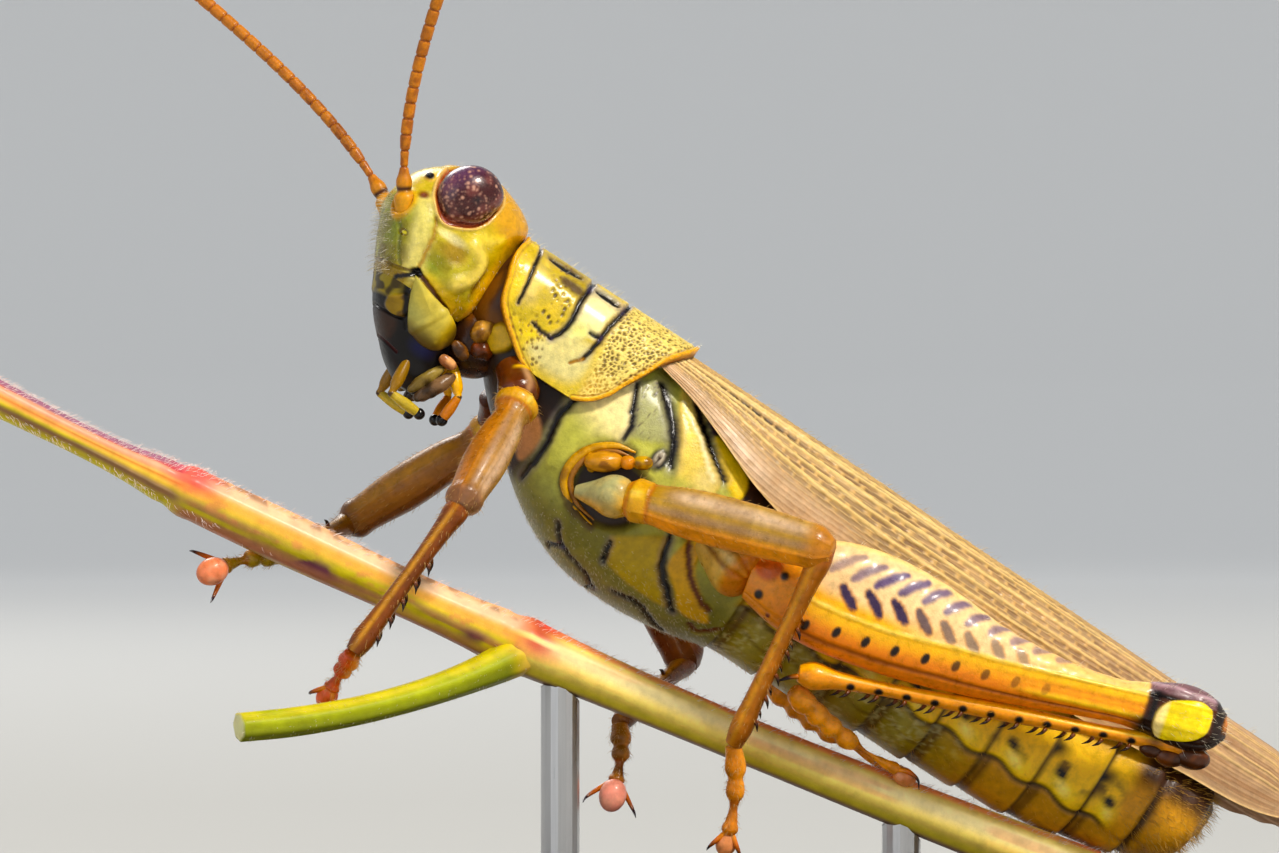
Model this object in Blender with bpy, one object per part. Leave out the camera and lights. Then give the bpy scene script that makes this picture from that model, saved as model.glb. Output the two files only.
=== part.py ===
"""A differential grasshopper at life size, gripping a cut stem held by a small display stand.

Lengths are written in millimetres and turned into metres at the end. The insect is modelled in its
own frame: x runs forward along the body, y to its left and z out of its back. The empty
"grasshopper" sets that frame on the stem, nose up, facing -X with its left side towards -Y. The
head has a frame of its own, which turns a little to the left at the neck.
"""
import math

import bmesh
import bpy
import numpy as np
from mathutils import Matrix, Vector
from mathutils.bvhtree import BVHTree

MM = 0.001
GAP = 0.1                       # thin cut between neighbouring pieces
WELD = 0.002                    # points closer than this are one

# Stand and stem, in the world's frame with the origin under the middle of the base
BASE_LENGTH = 47.0
BASE_WIDTH = 22.0
BASE_HEIGHT = 3.0
BASE_CORNER = 4.0
ROD_RADIUS = 0.65
ROD_X = (-3.4, 8.1)
STEM_START = (-22.9, -0.8, 20.95)
STEM_LENGTH = 41.0
STEM_SLOPE = (27.0, 20.5)       # degrees below level at its upper and its lower end
STEM_RADIUS = (0.62, 0.92)
STEM_LEAF_NODE = 0.19           # place of the upper node along the stem
STEM_SHOOT_NODE = 0.49          # place of the node that the side shoot leaves
SHOOT_LENGTH = 11.6
SHOOT_RADIUS = (0.62, 0.5)

# The insect on the stem
INSECT_ORIGIN = (-1.65, 0.0, 18.0)
PITCH = 33.0                    # degrees nose up
NECK = (7.0, 0.0, 3.0)
HEAD_TURN = 6.0                 # degrees to its left
HEAD_ROLL = 3.0                 # degrees, left side up

# Body, in the insect's frame
PRONOTUM_TOP = 5.15
PRONOTUM_LOW = 1.0
PRONOTUM_HALF_WIDTH = (2.3, 2.62)
PLATE = 0.5                     # thickness of the pronotum and the wings
WAIST = -5.85                   # where the thorax ends and the abdomen begins
ABDOMEN_CUTS = (-5.85, -11.2, -16.0, -20.2)
ABDOMEN_END = -23.45
WING_ROOT = 1.1
WING_LENGTH = 28.0
WING_TOP = 4.85

# Head, in the head's frame
EYE_CENTRE = (2.42, 1.62, 2.0)
EYE_RADII = (1.08, 0.82, 1.07)
ANTENNA_BASE = (3.75, 0.85, 0.65)
ANTENNA_LENGTH = 13.5
ANTENNA_RADIUS = (0.3, 0.25)
# degrees: yaw and rise where it starts, yaw and rise at the tip, how soon it bends
ANTENNA_BEND = {"left": (6.0, 52.0, 52.0, 67.0, 3.0), "right": (-20.0, 31.0, -23.0, 9.0, 3.0)}

# Legs, in the insect's frame: hip, then length, yaw and rise of the femur, tibia and tarsus
LEGS = {
    "fore_left": ((4.1, 2.75, 0.35), (5.0, 91.0, -54.0), (6.0, -56.0, -85.0), (1.9, -95.0, -55.0)),
    "fore_right": ((3.8, -2.75, -0.6), (6.2, -38.0, -61.0), (5.0, 70.0, -26.0), (2.3, 27.0, -43.0)),
    "mid_left": ((-0.65, 3.1, -0.5), (7.0, 155.0, 16.5), (7.7, -113.0, -63.0), (3.3, -158.0, -60.0)),
    "mid_right": ((-0.65, -3.1, -0.5), (7.0, -154.5, -27.0), (6.0, 74.5, -31.0), (2.2, 149.0, -62.0)),
    "hind_left": ((-5.4, 3.35, -0.5), (16.2, 176.0, 14.8), (13.4, -3.2, -22.0), (5.2, -162.0, -1.0)),
    "hind_right": ((-5.4, -3.35, -0.5), (16.2, -176.0, 14.8), (13.4, 3.2, -22.0), (5.2, 162.0, -1.0)),
}


# ---------------------------------------------------------------- shapes

def curve_through(rows, places):
    """Smooth values at the given places, through rows that start with their own place."""
    rows = np.array(rows, float)
    if rows[0, 0] > rows[-1, 0]:
        rows = rows[::-1]
    knots = rows[:, 0]
    values = rows[:, 1:]
    slopes = np.gradient(values, knots, axis=0)
    places = np.clip(np.asarray(places, float), knots[0], knots[-1])
    low = np.clip(np.searchsorted(knots, places) - 1, 0, len(knots) - 2)
    span = (knots[low + 1] - knots[low])[:, None]
    t = (places - knots[low])[:, None] / span
    start = (1 + 2 * t) * (1 - t) ** 2 * values[low] + t * (1 - t) ** 2 * span * slopes[low]
    end = t ** 2 * (3 - 2 * t) * values[low + 1] + t ** 2 * (t - 1) * span * slopes[low + 1]
    return start + end


def oval(sides, half_width, rise, drop, power):
    """Sideways and upward offsets round one squarish oval."""
    angle = 2 * math.pi * (np.arange(sides) + 0.5) / sides
    cosine = np.cos(angle)
    sine = np.sin(angle)
    sideways = half_width * np.sign(cosine) * np.abs(cosine) ** (2 / power)
    height = np.where(sine > 0, rise, drop)
    return sideways, height * np.sign(sine) * np.abs(sine) ** (2 / power)


def tunnel(rings):
    """Vertices and faces of a tube through the rings, closed by a fan at each end."""
    rings = [np.asarray(ring, float) for ring in rings]
    sides = len(rings[0])
    vertices = [tuple(point) for ring in rings for point in ring]
    faces = []
    for row in range(len(rings) - 1):
        for side in range(sides):
            here = row * sides + side
            beside = row * sides + (side + 1) % sides
            faces.append((here, beside, beside + sides, here + sides))
    for ring, first in ((rings[0], 0), (rings[-1], (len(rings) - 1) * sides)):
        middle = len(vertices)
        vertices.append(tuple(ring.mean(axis=0)))
        faces += [(first + side, first + (side + 1) % sides, middle) for side in range(sides)]
    return vertices, faces


def shell(outer, inner):
    """Vertices and faces of a thick sheet between two grids of points of the same size."""
    rows, columns = outer.shape[:2]
    vertices = [tuple(point) for grid in (outer, inner) for row in grid for point in row]

    def at(layer, row, column):
        return layer * rows * columns + row * columns + column

    faces = []
    for layer in (0, 1):
        for row in range(rows - 1):
            for column in range(columns - 1):
                faces.append((at(layer, row, column), at(layer, row, column + 1),
                              at(layer, row + 1, column + 1), at(layer, row + 1, column)))
    rim = [(0, column) for column in range(columns)]
    rim += [(row, columns - 1) for row in range(1, rows)]
    rim += [(rows - 1, column) for column in range(columns - 2, -1, -1)]
    rim += [(row, 0) for row in range(rows - 2, 0, -1)]
    for here, beside in zip(rim, rim[1:] + rim[:1]):
        faces.append((at(0, *here), at(0, *beside), at(1, *beside), at(1, *here)))
    return vertices, faces


def direction(yaw, rise):
    """Unit vector of a yaw and a rise in degrees."""
    yaw = math.radians(yaw)
    rise = math.radians(rise)
    return np.array((math.cos(yaw) * math.cos(rise), math.sin(yaw) * math.cos(rise), math.sin(rise)))


def unit(vector):
    vector = np.asarray(vector, float)
    return vector / np.linalg.norm(vector)


def sweep(path, profile, sides, up, power=2.0):
    """Rings along a path. profile rows are place, half width, rise and drop in millimetres."""
    path = np.asarray(path, float)
    steps = np.linalg.norm(np.diff(path, axis=0), axis=1)
    places = np.concatenate(([0.0], np.cumsum(steps))) / steps.sum()
    widths = curve_through(profile, places)
    tangents = np.gradient(path, axis=0)
    rings = []
    for centre, tangent, (half_width, rise, drop) in zip(path, tangents, widths):
        side = unit(np.cross(up, tangent))
        top = unit(np.cross(tangent, side))
        sideways, upward = oval(sides, half_width, rise, drop, power)
        rings.append(centre + sideways[:, None] * side + upward[:, None] * top)
    return rings


def straight(start, end, rings):
    """Points along a straight line, closer together towards its ends."""
    t = 0.5 - 0.5 * np.cos(np.linspace(0, math.pi, rings))
    return np.asarray(start) + t[:, None] * (np.asarray(end) - np.asarray(start))


# ---------------------------------------------------------------- objects

WHOLE_SHAPES = {}               # each piece's mesh before any trimming, by name


def material(name, colour, roughness, metallic=0.0):
    made = bpy.data.materials.new(name)
    made.use_nodes = True
    shader = made.node_tree.nodes["Principled BSDF"]
    shader.inputs["Base Color"].default_value = (*colour, 1.0)
    shader.inputs["Roughness"].default_value = roughness
    shader.inputs["Metallic"].default_value = metallic
    made.diffuse_color = (*colour, 1.0)
    return made


def frame_empty(name, location, rotation, parent=None):
    empty = bpy.data.objects.new(name, None)
    bpy.context.scene.collection.objects.link(empty)
    empty.location = location
    empty.rotation_euler = rotation
    empty.parent = parent
    return empty


def add_piece(name, shape, parent, finish, smooth=True):
    """One sub-part from vertices and faces, with its faces turned outwards."""
    vertices, faces = shape
    mesh = bpy.data.meshes.new(name)
    mesh.from_pydata([tuple(point) for point in vertices], [], faces)
    work = bmesh.new()
    work.from_mesh(mesh)
    bmesh.ops.recalc_face_normals(work, faces=work.faces)
    work.to_mesh(mesh)
    work.free()
    if smooth:
        mesh.shade_smooth()
        mesh.set_sharp_from_angle(angle=math.radians(40))
    mesh.materials.append(material(name, *finish))
    piece = bpy.data.objects.new(name, mesh)
    bpy.context.scene.collection.objects.link(piece)
    piece.parent = parent
    WHOLE_SHAPES[name] = mesh.copy()
    bpy.context.view_layer.update()
    return piece


def grown_copy(solid):
    """A copy of a solid, as it was before it was trimmed, whose surface stands GAP further out."""
    mesh = WHOLE_SHAPES[solid.name].copy()
    normals = [vertex.normal.copy() for vertex in mesh.vertices]
    for vertex, normal in zip(mesh.vertices, normals):
        vertex.co += GAP * normal
    cutter = bpy.data.objects.new("cutter", mesh)
    bpy.context.scene.collection.objects.link(cutter)
    cutter.matrix_world = solid.matrix_world
    cutter.hide_render = True
    cutter.display_type = "WIRE"
    return cutter


def touching(one, other):
    """Whether the surfaces of two pieces cross."""
    trees = []
    for item in (one, other):
        points = [item.matrix_world @ vertex.co for vertex in item.data.vertices]
        trees.append(BVHTree.FromPolygons(points, [polygon.vertices for polygon in item.data.polygons]))
    return bool(trees[0].overlap(trees[1]))


def keep_largest(mesh):
    """Weld what a cut left doubled, and leave only the largest body of a mesh."""
    work = bmesh.new()
    work.from_mesh(mesh)
    bmesh.ops.remove_doubles(work, verts=work.verts, dist=WELD)
    bmesh.ops.dissolve_degenerate(work, dist=WELD, edges=work.edges)
    left = set(work.faces)
    bodies = []
    while left:
        body = {left.pop()}
        front = list(body)
        while front:
            face = front.pop()
            near = {other for side in face.edges for other in side.link_faces} - body
            body |= near
            front += near
        left -= body
        bodies.append((sum(face.calc_area() for face in body), body))
    bodies.sort(key=lambda item: item[0])
    strays = [face for area, body in bodies[:-1] for face in body]
    bmesh.ops.delete(work, geom=strays, context="FACES")
    work.to_mesh(mesh)
    work.free()


def trim(piece, *neighbours):
    """Cut a piece back to GAP from those of its neighbours that it touches."""
    for neighbour in neighbours:
        cutter = grown_copy(neighbour)
        bpy.context.view_layer.update()
        if touching(piece, cutter):
            cut = piece.modifiers.new("trim", "BOOLEAN")
            cut.operation = "DIFFERENCE"
            cut.solver = "EXACT"
            cut.object = cutter
            graph = bpy.context.evaluated_depsgraph_get()
            mesh = bpy.data.meshes.new_from_object(piece.evaluated_get(graph))
            piece.modifiers.clear()
            piece.data = mesh
            mesh.name = piece.name
            keep_largest(mesh)
        bpy.data.objects.remove(cutter)
    return piece


def mirrored(shape):
    """The same shape on the other side of the body."""
    vertices, faces = shape
    return [(x, -y, z) for x, y, z in vertices], faces


# ---------------------------------------------------------------- body

def pronotum_grid(inset):
    """The saddle over the front of the thorax, from its left lower edge over the back to the right.

    The front and rear margins of each side lobe run down from the back to its rounded lower edge.
    """
    front = [(1.0, 3.9), (1.35, 4.65), (1.9, 5.4), (2.7, 6.27), (3.6, 6.6), (4.5, 6.8), (5.15, 6.65)]
    rear = [(1.0, 3.3), (1.35, 2.43), (2.05, 1.66), (2.6, 1.4), (3.4, 0.98), (4.0, 0.7), (5.15, -0.2)]
    angles = np.radians(90 + 89 * np.sin(np.radians(np.linspace(-90, 90, 15))))
    height = PRONOTUM_TOP - PRONOTUM_LOW
    shoulder = 3.0
    grid = []
    for t in np.linspace(0, 1, 7):
        row = []
        for angle in angles:
            level = PRONOTUM_LOW + height * math.sin(angle) ** (2 / shoulder)
            x_front, x_rear = (curve_through(margin, [level])[0, 0] for margin in (front, rear))
            x = x_front + t * (x_rear - x_front)
            half = np.interp(x, (1.0, 6.6), PRONOTUM_HALF_WIDTH[::-1]) - inset
            across = math.copysign(abs(math.cos(angle)) ** (2 / shoulder), math.cos(angle))
            top = (height - inset) * math.sin(angle) ** (2 / shoulder)
            row.append((x, half * across, PRONOTUM_LOW + top))
        grid.append(row)
    return np.array(grid)


def body_rings(rows, places, sides, power):
    """Cross-sections of the trunk. rows are x, low z, high z and half width."""
    rings = []
    for x, (low, high, half_width) in zip(places, curve_through(rows, places)):
        waist = 0.5 * (low + high) - 0.1 * (high - low)
        sideways, upward = oval(sides, half_width, high - waist, waist - low, power)
        rings.append(np.column_stack((np.full(sides, x), sideways, waist + upward)))
    return rings


def add_thorax(insect):
    rows = [(6.55, 1.9, 4.3, 1.5), (5.4, 0.4, 4.45, 1.75), (3.6, -1.3, 4.45, 2.0), (2.0, -2.55, 4.4, 2.25),
            (0.0, -3.5, 4.25, 2.65), (-2.0, -3.75, 4.15, 2.85), (-4.0, -3.6, 3.95, 2.8),
            (WAIST, -3.2, 3.7, 2.5)]
    places = [6.55, 5.7, 4.4, 3.0, 1.4, -0.3, -2.2, -4.1, WAIST]
    shape = tunnel(body_rings(rows, places, 18, 2.3))
    return add_piece("thorax", shape, insect, ((0.42, 0.45, 0.16), 0.45))


def add_abdomen(insect):
    """Three lengths of segments, then the bulbous tip with its pair of cerci."""
    rows = [(WAIST, -3.2, 3.6, 2.45), (-9.0, -3.0, 3.35, 2.3), (-12.0, -2.8, 3.15, 2.2),
            (-15.0, -2.6, 3.0, 2.1), (-18.0, -2.3, 2.8, 2.0), (-20.2, -1.8, 2.7, 1.85),
            (-22.0, -1.1, 2.5, 1.6), (-23.0, -0.3, 2.2, 1.15), (ABDOMEN_END, 0.6, 1.7, 0.4)]
    cuts = (*ABDOMEN_CUTS, ABDOMEN_END)
    lengths = []
    for number, (start, end) in enumerate(zip(cuts, cuts[1:]), 1):
        tip = number == len(cuts) - 1
        places = np.linspace(start - GAP, end, 6 if tip else 5)
        name = "abdomen_tip" if tip else f"abdomen_{number}"
        shape = tunnel(body_rings(rows, places, 18, 2.2))
        lengths.append(add_piece(name, shape, insect, ((0.5, 0.42, 0.08), 0.45)))
    return lengths


def tegmen_grid(inset):
    """The left fore wing, folded like a roof: from the middle of the back out and down its side."""
    # place along the wing, how far out its shoulder and its lower edge lie, and the lower edge's height
    edges = [(0.0, 0.9, 1.75, 3.95), (0.07, 1.15, 2.1, 3.45), (0.12, 1.3, 2.5, 2.9), (0.18, 1.42, 2.8, 2.2),
             (0.3, 1.5, 2.8, 1.5), (0.5, 1.42, 2.5, 1.4), (0.8, 1.1, 1.6, 2.0), (0.93, 0.8, 1.17, 2.45),
             (1.0, 0.42, 0.7, 3.35)]
    places = 0.5 - 0.5 * np.cos(np.linspace(0, math.pi, 12))
    grid = []
    for place, (shoulder, side, low) in zip(places, curve_through(edges, places)):
        x = WING_ROOT - WING_LENGTH * place
        high = WING_TOP - 0.35 * place - 0.5 * max(0.0, place - 0.9) / 0.1
        row = []
        for across in np.linspace(0.0, 1.0, 7):
            # the first third is the narrow back field and the rest the broad side field
            if across < 0.34:
                t = across / 0.34
                y = 0.06 + t * (shoulder - inset)
                z = high - 0.25 * t ** 2 - inset
            else:
                t = (across - 0.34) / 0.66
                y = 0.06 + (shoulder - inset) + (side - shoulder) * math.sin(0.5 * math.pi * t)
                z = high - 0.25 - inset + (low - high + 0.25 + inset) * t ** 1.25
            row.append((x, y, z))
        grid.append(row)
    return np.array(grid)


def add_wings(insect):
    """Both fore wings, and the folded hind wings between them past the end of the abdomen."""
    tegmen = shell(tegmen_grid(0.0), tegmen_grid(PLATE))
    tan = ((0.42, 0.3, 0.16), 0.5)
    left = add_piece("tegmen_left", tegmen, insect, tan)
    right = add_piece("tegmen_right", mirrored(tegmen), insect, tan)
    rows = [(-13.0, 2.9, 3.6, 0.25), (-16.0, 1.9, 3.5, 0.3), (-20.0, 1.75, 3.4, 0.32), (-24.0, 1.9, 3.4, 0.3),
            (-26.0, 2.4, 3.3, 0.25)]
    shape = tunnel(body_rings(rows, np.linspace(-13.0, -26.0, 7), 8, 2.5))
    folded = add_piece("hind_wings", shape, insect, ((0.3, 0.22, 0.14), 0.5))
    trim(folded, left, right)
    return left, right, folded


# ---------------------------------------------------------------- head

def head_rings(rows, places, power):
    """Level slices of the head. rows are z, front x, rear x and half width."""
    sides = 20
    rings = []
    for z, (front, rear, half_width) in zip(places, curve_through(rows, places)):
        sideways, forward = oval(sides, half_width, 0.5 * (front - rear), 0.5 * (front - rear), power)
        rings.append(np.column_stack((0.5 * (front + rear) + forward, sideways, np.full(sides, z))))
    return rings


def ellipsoid(centre, radii, sides, rows):
    rings = []
    for angle in np.linspace(0.12, math.pi - 0.12, rows):
        turn = 2 * math.pi * np.arange(sides) / sides
        ring = np.column_stack((np.cos(turn) * math.sin(angle), np.full(sides, math.cos(angle)),
                                np.sin(turn) * math.sin(angle)))
        rings.append(np.asarray(centre) + ring * np.asarray(radii))
    return tunnel(rings)


def add_head(turned):
    rows = [(3.15, 1.9, 1.2, 0.35), (2.95, 2.75, 0.65, 0.85), (2.5, 3.5, -0.15, 1.35), (2.0, 4.0, -0.35, 1.7),
            (1.6, 4.2, -0.3, 1.85), (0.6, 4.36, -0.2, 2.15), (-0.3, 4.05, -0.15, 2.25),
            (-1.0, 3.72, -0.1, 2.15), (-1.6, 3.4, 0.15, 1.85)]
    places = [3.15, 2.95, 2.5, 2.0, 1.4, 0.6, -0.2, -0.9, -1.6]
    head = add_piece("head", tunnel(head_rings(rows, places, 2.4)), turned, ((0.5, 0.47, 0.08), 0.4))
    rows = [(-1.7, 3.32, 0.1, 1.7), (-2.5, 2.9, -0.25, 1.45), (-3.4, 2.12, -0.4, 1.1),
            (-4.1, 1.35, -0.4, 0.8), (-4.43, 0.8, -0.1, 0.35)]
    places = [-1.7, -2.4, -3.1, -3.8, -4.43]
    shape = tunnel(head_rings(rows, places, 2.4))
    mouth = add_piece("mouthparts", shape, turned, ((0.05, 0.045, 0.05), 0.35))
    return head, mouth


def add_eyes(turned, head):
    """The compound eyes, set into sockets of the head."""
    shape = ellipsoid(EYE_CENTRE, EYE_RADII, 14, 8)
    finish = ((0.09, 0.03, 0.03), 0.2)
    eyes = {"left": add_piece("eye_left", shape, turned, finish),
            "right": add_piece("eye_right", mirrored(shape), turned, finish)}
    trim(head, *eyes.values())
    return eyes


def antenna_path(side):
    """The antenna's centre line, whose yaw and rise change steadily from its base to its tip."""
    yaw_base, rise_base, yaw_tip, rise_tip, haste = ANTENNA_BEND[side]
    steps = 14
    x, y, z = ANTENNA_BASE
    point = np.array((x, y if side == "left" else -y, z))
    path = [point]
    for step in range(steps):
        bend = 1 - (1 - step / steps) ** haste
        along = direction(yaw_base + bend * (yaw_tip - yaw_base), rise_base + bend * (rise_tip - rise_base))
        point = point + along * ANTENNA_LENGTH / steps
        path.append(point)
    return path


def add_antennae(turned, head):
    profile = [(0.0, 0.34, 0.34, 0.34), (0.1, ANTENNA_RADIUS[1], ANTENNA_RADIUS[1], ANTENNA_RADIUS[1]),
               (0.6, ANTENNA_RADIUS[0], ANTENNA_RADIUS[0], ANTENNA_RADIUS[0]),
               (1.0, ANTENNA_RADIUS[1], ANTENNA_RADIUS[1], ANTENNA_RADIUS[1])]
    for side in ("left", "right"):
        rings = sweep(antenna_path(side), profile, 6, (0.3, 1.0, 0.0))
        piece = add_piece(f"antenna_{side}", tunnel(rings), turned, ((0.55, 0.22, 0.03), 0.45))
        trim(piece, head)


def add_palps(turned, mouth):
    """Two pairs of palps under the mouth, each bent once."""
    bends = {"maxillary": ((0.95, 0.8, -3.5), (0.85, 1.1, -4.85), (-0.35, 0.95, -4.9)),
             "labial": ((-0.5, 0.65, -2.9), (-1.15, 0.9, -3.7), (-1.15, 0.6, -4.65))}
    profile = [(0.0, 0.25, 0.25, 0.25), (1.0, 0.27, 0.27, 0.27)]
    made = {}
    for kind, (root, elbow, tip) in bends.items():
        path = np.concatenate((straight(root, elbow, 4)[:-1], straight(elbow, tip, 4)))
        shape = tunnel(sweep(path, profile, 6, (0.1, 1.0, 0.0)))
        for side, solid in (("left", shape), ("right", mirrored(shape))):
            piece = add_piece(f"{kind}_palp_{side}", solid, turned, ((0.4, 0.3, 0.12), 0.4))
            trim(piece, mouth, *made.get(side, ()))
            made.setdefault(side, []).append(piece)


# ---------------------------------------------------------------- legs

# profiles of the leg pieces: place, half width, rise and drop
THIGH = [(0.0, 0.5, 0.5, 0.5), (0.25, 0.68, 0.74, 0.74), (0.6, 0.76, 0.84, 0.84), (0.85, 0.62, 0.7, 0.68),
         (0.95, 0.56, 0.6, 0.6), (1.0, 0.36, 0.4, 0.4)]
SLIM_THIGH = [(0.0, 0.5, 0.55, 0.55), (0.15, 0.62, 0.8, 0.78), (0.6, 0.65, 0.84, 0.8), (0.85, 0.58, 0.72, 0.7),
              (0.96, 0.54, 0.62, 0.62), (1.0, 0.35, 0.4, 0.4)]
SHIN = [(0.0, 0.42, 0.44, 0.44), (0.15, 0.37, 0.39, 0.39), (0.8, 0.34, 0.37, 0.37), (1.0, 0.4, 0.42, 0.42)]
FOOT = [(0.0, 0.3, 0.27, 0.3), (0.3, 0.36, 0.27, 0.36), (0.45, 0.3, 0.26, 0.28), (0.85, 0.32, 0.26, 0.28),
        (1.0, 0.44, 0.28, 0.42)]
HIND_THIGH = [(0.0, 0.6, 0.85, 0.8), (0.06, 0.9, 1.55, 1.25), (0.14, 1.08, 2.05, 1.6), (0.25, 1.12, 2.18, 1.74),
              (0.37, 1.08, 1.85, 1.72), (0.5, 0.98, 1.15, 1.52), (0.6, 0.85, 0.78, 1.3), (0.75, 0.68, 0.55, 0.95),
              (0.86, 0.65, 0.6, 0.75), (0.93, 0.76, 0.9, 0.85), (0.98, 0.66, 0.76, 0.76), (1.0, 0.4, 0.45, 0.45)]
HIND_SHIN = [(0.0, 0.42, 0.5, 0.5), (0.08, 0.38, 0.42, 0.42), (0.5, 0.34, 0.37, 0.37), (0.9, 0.36, 0.38, 0.38),
             (1.0, 0.46, 0.48, 0.48)]
HIND_FOOT = [(0.0, 0.34, 0.3, 0.32), (0.3, 0.38, 0.32, 0.36), (0.55, 0.32, 0.28, 0.3), (0.62, 0.25, 0.25, 0.25),
             (0.88, 0.25, 0.25, 0.25), (1.0, 0.36, 0.26, 0.3)]
LEG_COLOUR = ((0.5, 0.27, 0.07), 0.42)


def coxa_rings(pair, hip):
    """The short base of a leg: it stands out of the thorax and leans towards the hip."""
    side = math.copysign(1.0, hip[1])
    hip = np.array(hip)
    inward, size = {"fore": ((0.7, -1.0, 0.9), 0.72), "mid": ((1.1, -1.0, 0.3), 0.95),
                    "hind": ((1.4, -1.0, 0.5), 1.15)}[pair]
    root = hip + np.array((inward[0], inward[1] * side, inward[2]))
    profile = [(0.0, size, size, size), (0.6, 0.95 * size, 0.95 * size, 0.95 * size),
               (1.0, 0.6 * size, 0.6 * size, 0.6 * size)]
    end = hip + 0.25 * unit(hip - root)
    return sweep(straight(root, end, 4), profile, 8, (0.0, 0.1, 1.0))


def foot_path(start, length, yaw, rise, curl):
    """A foot's centre line, which bends down by curl degrees along its length."""
    steps = 6
    path = [np.asarray(start, float)]
    for step in range(steps):
        along = direction(yaw, rise - curl * (step / steps - 0.5))
        path.append(path[-1] + along * length / steps)
    return path


def add_leg(insect, name, chest, flank, perch):
    """Coxa, femur, tibia and tarsus of one leg. chest is what it grows from, and flank what
    a folded hind leg lies against."""
    hip, thigh, shin, foot = LEGS[name]
    pair, side = name.split("_")
    hind = pair == "hind"
    outward = 1.0 if side == "left" else -1.0
    knee = np.array(hip) + thigh[0] * direction(*thigh[1:])
    ankle = knee + shin[0] * direction(*shin[1:])
    coxa = add_piece(f"{name}_coxa", tunnel(coxa_rings(pair, hip)), insect, ((0.5, 0.42, 0.1), 0.45))
    trim(coxa, *chest)
    profile = HIND_THIGH if hind else (THIGH if pair == "fore" else SLIM_THIGH)
    sides, rings = (14, 12) if hind else (10, 8)
    end = knee + (0.5 if hind else 0.3) * direction(*thigh[1:])
    shape = tunnel(sweep(straight(hip, end, rings), profile, sides, (0.0, 0.0, 1.0), 2.3 if hind else 2.0))
    femur = add_piece(f"{name}_femur", shape, insect, LEG_COLOUR)
    trim(femur, coxa, *chest, *(flank if hind else ()))
    if hind:
        # the shin is hinged on the lower side of the knee and folds up under the thigh
        knee = knee + np.array((0.1, -0.2 * outward, -0.9))
        ankle = knee + shin[0] * direction(*shin[1:])
    up = (0.0, outward, 0.0)
    shape = tunnel(sweep(straight(knee, ankle, 5), HIND_SHIN if hind else SHIN, 8, up))
    tibia = add_piece(f"{name}_tibia", shape, insect, LEG_COLOUR)
    trim(tibia, femur, *(flank if hind else ()))
    start = ankle + (np.array((-0.25, -0.5 * outward, -0.55)) if hind else 0.1 * direction(*foot[1:]))
    path = foot_path(start, *foot, -20.0 if hind else 25.0)
    up = (0.0, 0.0, 1.0) if hind else (0.3, outward, 0.2)
    shape = tunnel(sweep(path, HIND_FOOT if hind else FOOT, 8, up))
    tarsus = add_piece(f"{name}_tarsus", shape, insect, LEG_COLOUR)
    trim(tarsus, tibia, *perch, *(flank if hind else ()))


# ---------------------------------------------------------------- stem and stand

def stem_path(steps=16):
    """The stem's centre line: its slope eases steadily from its upper end to its lower end."""
    point = np.array(STEM_START)
    path = [point]
    for step in range(steps):
        slope = math.radians(np.interp((step + 0.5) / steps, (0, 1), STEM_SLOPE))
        point = point + STEM_LENGTH / steps * np.array((math.cos(slope), 0.0, -math.sin(slope)))
        path.append(point)
    return np.array(path)


def add_stem():
    thin, thick = STEM_RADIUS
    radii = [(0.0, thin), (STEM_LEAF_NODE - 0.05, thin), (STEM_LEAF_NODE, 0.8 * thin + 0.35),
             (STEM_LEAF_NODE + 0.06, 0.9), (STEM_SHOOT_NODE - 0.05, 0.86), (STEM_SHOOT_NODE, 0.98),
             (STEM_SHOOT_NODE + 0.05, 0.9), (1.0, thick)]
    profile = [(place, radius, radius, radius) for place, radius in radii]
    shape = tunnel(sweep(stem_path(), profile, 10, (0.0, 0.0, 1.0)))
    green = ((0.5, 0.5, 0.2), 0.5)
    stem = add_piece("perch_stem", shape, None, green)
    path = stem_path()
    start = path[int(round(STEM_SHOOT_NODE * (len(path) - 1)))]
    steps = 6
    way = [start]
    for step in range(steps):
        way.append(way[-1] + direction(-146.0 - 2.4 * step, -19.0 + 3.0 * step) * SHOOT_LENGTH / steps)
    profile = [(0.0, 0.75, 0.75, 0.75), (0.15, *3 * (SHOOT_RADIUS[0],)), (1.0, *3 * (SHOOT_RADIUS[1],))]
    shoot = add_piece("perch_shoot", tunnel(sweep(way, profile, 10, (0.0, 0.0, 1.0))), None, green)
    trim(shoot, stem)
    return stem, shoot


def rounded_plate():
    """Outline of the base, its corners drawn as arcs, as two levels with a small chamfer above."""
    chamfer = 0.4
    rings = []
    for z, inset in ((0.0, 0.0), (BASE_HEIGHT - chamfer, 0.0), (BASE_HEIGHT, chamfer)):
        ring = []
        for corner, (sx, sy) in enumerate(((1, 1), (-1, 1), (-1, -1), (1, -1))):
            for step in range(6):
                angle = math.radians(90 * corner + 18 * step)
                reach = BASE_CORNER - inset
                ring.append((sx * (0.5 * BASE_LENGTH - BASE_CORNER) + reach * math.cos(angle),
                             sy * (0.5 * BASE_WIDTH - BASE_CORNER) + reach * math.sin(angle), z))
        rings.append(ring)
    return tunnel(rings)


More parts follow.
